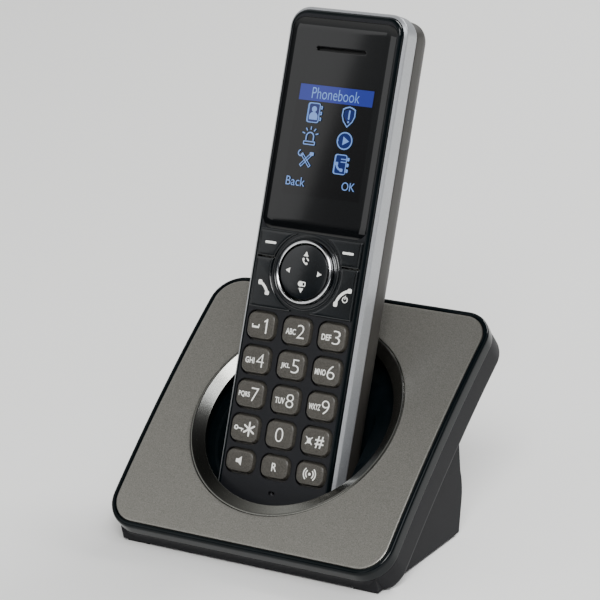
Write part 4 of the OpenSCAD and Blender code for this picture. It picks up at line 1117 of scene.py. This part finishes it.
def makeBlockKeys():
    marks = callMarks()
    half = blockKey["seamHalf"]
    spans = {"soft": (block["seam"] + half, block["top"]), "call": (block["low"], block["seam"] - half)}
    for name, side, kind in (("soft_key_left", -1, "soft"), ("soft_key_right", 1, "soft"),
                             ("talk_key", -1, "call"), ("off_key", 1, "call")):
        bm = bmesh.new()
        outline = blockOutline(side, *spans[kind])
        rings = [addRing(bm, outline(inset), level) for inset, level in blockKey["edge"]]
        bridgeAll(bm, rings)
        fill(bm, rings[0])
        fill(bm, rings[-1])
        _, surface = finishPiece("cap_" + name, bm, handsetFrame, glossKey, name, [name])
        printMarks("legend_" + name, marks[name], (0, 0), surface, handsetFrame, whiteInk, name)


# profiles of the navigation key's round parts: radius and level
surround = {"profile": [(11.3, -0.79), (11.3, -0.45), (11.42, -0.32), (12.1, -0.3), (12.2, -0.4),
                        (12.35, -0.45), (12.5, -0.4), (12.6, -0.3), (13.0, -0.32), (13.16, -0.42),
                        (13.2, -0.6), (13.2, -0.79)]}
ringShape = {"profile": [(10.0, -2.4), (10.0, 0.9), (10.08, 1.2), (10.28, 1.42), (10.55, 1.5), (10.82, 1.42),
                         (11.02, 1.2), (11.1, 0.9), (11.1, -2.4)]}
padShape = {
    "profile": [(0.05, 1.32), (3, 1.3), (6, 1.22), (8, 1.1), (9.1, 1.0), (9.34, 0.96), (9.42, 0.88),
                (9.44, 0.7), (9.44, -2.5), (0.05, -2.5)],
    "feet": 4, "footOut": 6.4, "footRadius": 1, "footLevels": (-2.4, -4.4),
    "pointer": [(-0.95, -0.75), (0.95, -0.75), (0, 0.95)], "pointerOut": 6.3,
}


def turned(profile, centre, count=96, closed=True):
    bm = bmesh.new()
    rings = [addRing(bm, circleOutline(radius, centre, count), level) for radius, level in profile]
    bridgeAll(bm, rings, closed=closed)
    if not closed:
        fill(bm, rings[0])
        fill(bm, rings[-1])
    return bm


def makeNavigation():
    centre = (0, navigation["up"])
    finishPiece("navSurround", turned(surround["profile"], centre, 128), handsetFrame, glossKey, "handset")
    finishPiece("navRing", turned(ringShape["profile"], centre, 128), handsetFrame, brightChrome, "handset",
                ["nav_ring"])
    bm = turned(padShape["profile"], centre, closed=False)
    angles = [2 * math.pi * i / padShape["feet"] for i in range(padShape["feet"])]
    for angle in angles:
        out = padShape["footOut"]
        place = (centre[0] + out * math.cos(angle), centre[1] + out * math.sin(angle))
        rings = [addRing(bm, circleOutline(padShape["footRadius"], place, 16), level)
                 for level in padShape["footLevels"]]
        bridgeAll(bm, rings)
        fill(bm, rings[0])
        fill(bm, rings[1])
    _, surface = finishPiece("navPad", bm, handsetFrame, glossKey, "nav_pad", ["nav_pad"])
    marks = []
    for angle in angles:
        out = padShape["pointerOut"]
        pointer = shape(rotated(padShape["pointer"], angle))
        marks += moved([pointer], -out * math.sin(angle), out * math.cos(angle))
    marks += moved(smallHandset(0.55) + [stroke(0.4, (0.4, 1.0), (1.2, 0.3))], 0.1, 3.9)
    marks += [shape(circleOutline(0.95, (-0.5, -4.1), 24)),
              shape(roundedOutline(1.7, 1.7, 0.4, (0.7, -4.1)), roundedOutline(1.0, 1.0, 0.2, (0.7, -4.1)))]
    printMarks("legend_nav_pad", marks, centre, surface, handsetFrame, whiteInk, "nav_pad")


makeBand()
makeBack()
makeDoor()
makeFront()
makeBlockSheet()
_, lensFace = makeLens()
makePicture(lensFace)
print("handset shells made")
makeDialKeys()
makeBlockKeys()
makeNavigation()
print("keys made")


# nodes that keep their own mesh and only take a material
finishes = [
    (glossBlack, ["cradle_well"]),
    (caseGrey, ["page_button"]),
    (boardGreen, ["base_circuit_board", "handset_circuit_board"]),
    (tinPlate, ["base_radio_shield", "handset_radio_shield", "page_switch", "dome_sheet",
                "battery_contacts"]),
    (copperStrip, ["base_antenna", "handset_antenna"]),
    (socketBlack, ["line_jack", "dc_power_jack", "charge_contact_holder", "nav_pivot"]),
    (contactGold, ["charge_contact_left", "charge_contact_right", "handset_charge_pads"]),
    (screwZinc, ["base_screws", "handset_screws"]),
    (footRubber, ["rubber_feet"]),
    (holderWhite, ["lcd_frame"]),
    (pictureBlack, ["lcd_module"]),
    (speakerGrey, ["earpiece_speaker", "loudspeaker", "microphone"]),
    (gauzeBlack, ["earpiece_mesh"]),
    (silicone, ["keypad_membrane"]),
    (cellSleeve, ["battery_cells"]),
]
softened = {"nodes": ["page_button", "line_jack", "dc_power_jack", "rubber_feet"], "width": 0.3, "from": 50}

for material, names in finishes:
    for name in names:
        node = frame["nodes"][name]
        node.data.materials.clear()
        node.data.materials.append(material)
        node.data.shade_smooth()
        node.data.set_sharp_from_angle(angle=math.radians(creaseAngle))
for name in softened["nodes"]:
    bevel = frame["nodes"][name].modifiers.new("soft edges", "BEVEL")
    bevel.width = softened["width"] * mm
    bevel.segments = 2
    bevel.limit_method = "ANGLE"
    bevel.angle_limit = math.radians(softened["from"])
print("carried-over nodes finished")


# the floor's side in metres, and the sky's tones from low to high
studio = {
    "floor": 6, "floorTone": "#F4F4F2",
    "sky": [(0.22, "#3C3E42"), (0.55, "#D0D1D2"), (0.74, "#FFFFFD"), (0.85, "#8A8A88"), (0.94, "#161616")],
}
lamps = [  # name, place, aim, size, power, colour
    ("key", (0.9, -1.5, 1.7), (0, 0, 0.05), (0.9, 0.9), 50, "#FFFFFF"),
    ("side", (0.8, -0.45, 1.3), (0, 0, 0.08), (0.5, 0.5), 5, "#F8FAFF"),
    ("front", (-0.3, -1.55, 0.72), (0, 0, 0.1), (0.5, 0.8), 1.5, "#FFFFFF"),
    ("rear", (0.5, 1.6, 1.3), (0, 0, 0.08), (1.4, 0.6), 36, "#FFFFFF"),
]
# the sheen's edge on the lens runs from top to foot; both and reach are in millimetres, the card in metres
sheen = {"top": (8.0, 172.7), "foot": (-7.0, 95.9), "reach": 1600, "wide": 0.55, "long": 0.7, "power": 1.3,
         "beside": 12, "facing": (0, 0, 0.1)}


def addLamp(name, size, power, tone, place):
    data = bpy.data.lights.new(name, "AREA")
    data.shape = "RECTANGLE"
    data.size, data.size_y = size
    data.energy = power
    data.color = colour(tone)[:3]
    lamp = bpy.data.objects.new(name, data)
    lamp.matrix_world = place
    lamp.visible_camera = False
    bpy.context.scene.collection.objects.link(lamp)


def mirrored(point):
    # where the lens sends the sight line through a point on it, at the card's distance
    out = (handsetTurn @ Vector((0, 0, 1))).normalized()
    spot = handsetFrame @ Vector((point[0], point[1], lens["top"]))
    sight = (spot - bpy.context.scene.camera.matrix_world.translation / mm).normalized()
    return (spot + sight.reflect(out) * sheen["reach"]) * mm


def makeSheen():
    # a card whose mirrored straight edge lies slantwise across the lens
    top, foot = mirrored(sheen["top"]), mirrored(sheen["foot"])
    left = mirrored((sheen["top"][0] - sheen["beside"], sheen["top"][1]))
    along = (top - foot).normalized()
    across = left - top
    across = (across - along * across.dot(along)).normalized()
    facing = across.cross(along)
    middle = (top + foot) / 2 + across * sheen["wide"] / 2
    if facing.dot(Vector(sheen["facing"]) - middle) > 0:  # the card shines along its own -Z
        along, facing = -along, -facing
    place = Matrix((across, along, facing)).transposed().to_4x4()
    place.translation = middle
    addLamp("sheen", (sheen["wide"], sheen["long"]), sheen["power"], "#FFFFFF", place)


def makeSky():
    world = bpy.data.worlds.new("studio")
    bpy.context.scene.world = world
    world.use_nodes = True
    nodes, links = world.node_tree.nodes, world.node_tree.links
    place = nodes.new("ShaderNodeTexCoord")
    split = nodes.new("ShaderNodeSeparateXYZ")
    ramp = nodes.new("ShaderNodeValToRGB")
    for step, (height, tone) in enumerate(studio["sky"]):
        stop = ramp.color_ramp.elements[step] if step < 2 else ramp.color_ramp.elements.new(height)
        stop.position = height
        stop.color = colour(tone)
    links.new(place.outputs["Generated"], split.inputs[0])
    links.new(split.outputs["Z"], ramp.inputs["Fac"])
    links.new(ramp.outputs["Color"], nodes["Background"].inputs["Color"])


def makeStudio():
    makeSky()
    half = studio["floor"] / 2
    low = cadBox[0][2]
    mesh = bpy.data.meshes.new("floor")
    corners = [(-half, -half, low), (half, -half, low), (half, half, low), (-half, half, low)]
    mesh.from_pydata(corners, [], [(0, 1, 2, 3)])
    floor = bpy.data.objects.new("floor", mesh)
    bpy.context.scene.collection.objects.link(floor)
    # uncoated studio paper: pale, matt and even
    paper = moulded("paper", studio["floorTone"], studio["floorTone"], 2, 0.002, {"Roughness": 0.8})
    mesh.materials.append(paper)
    for name, place, aim, size, power, tone in lamps:
        turn = (Vector(aim) - Vector(place)).to_track_quat("-Z", "Y").to_matrix().to_4x4()
        addLamp(name, size, power, tone, Matrix.Translation(place) @ turn)
    makeSheen()


makeStudio()
print("studio lit")
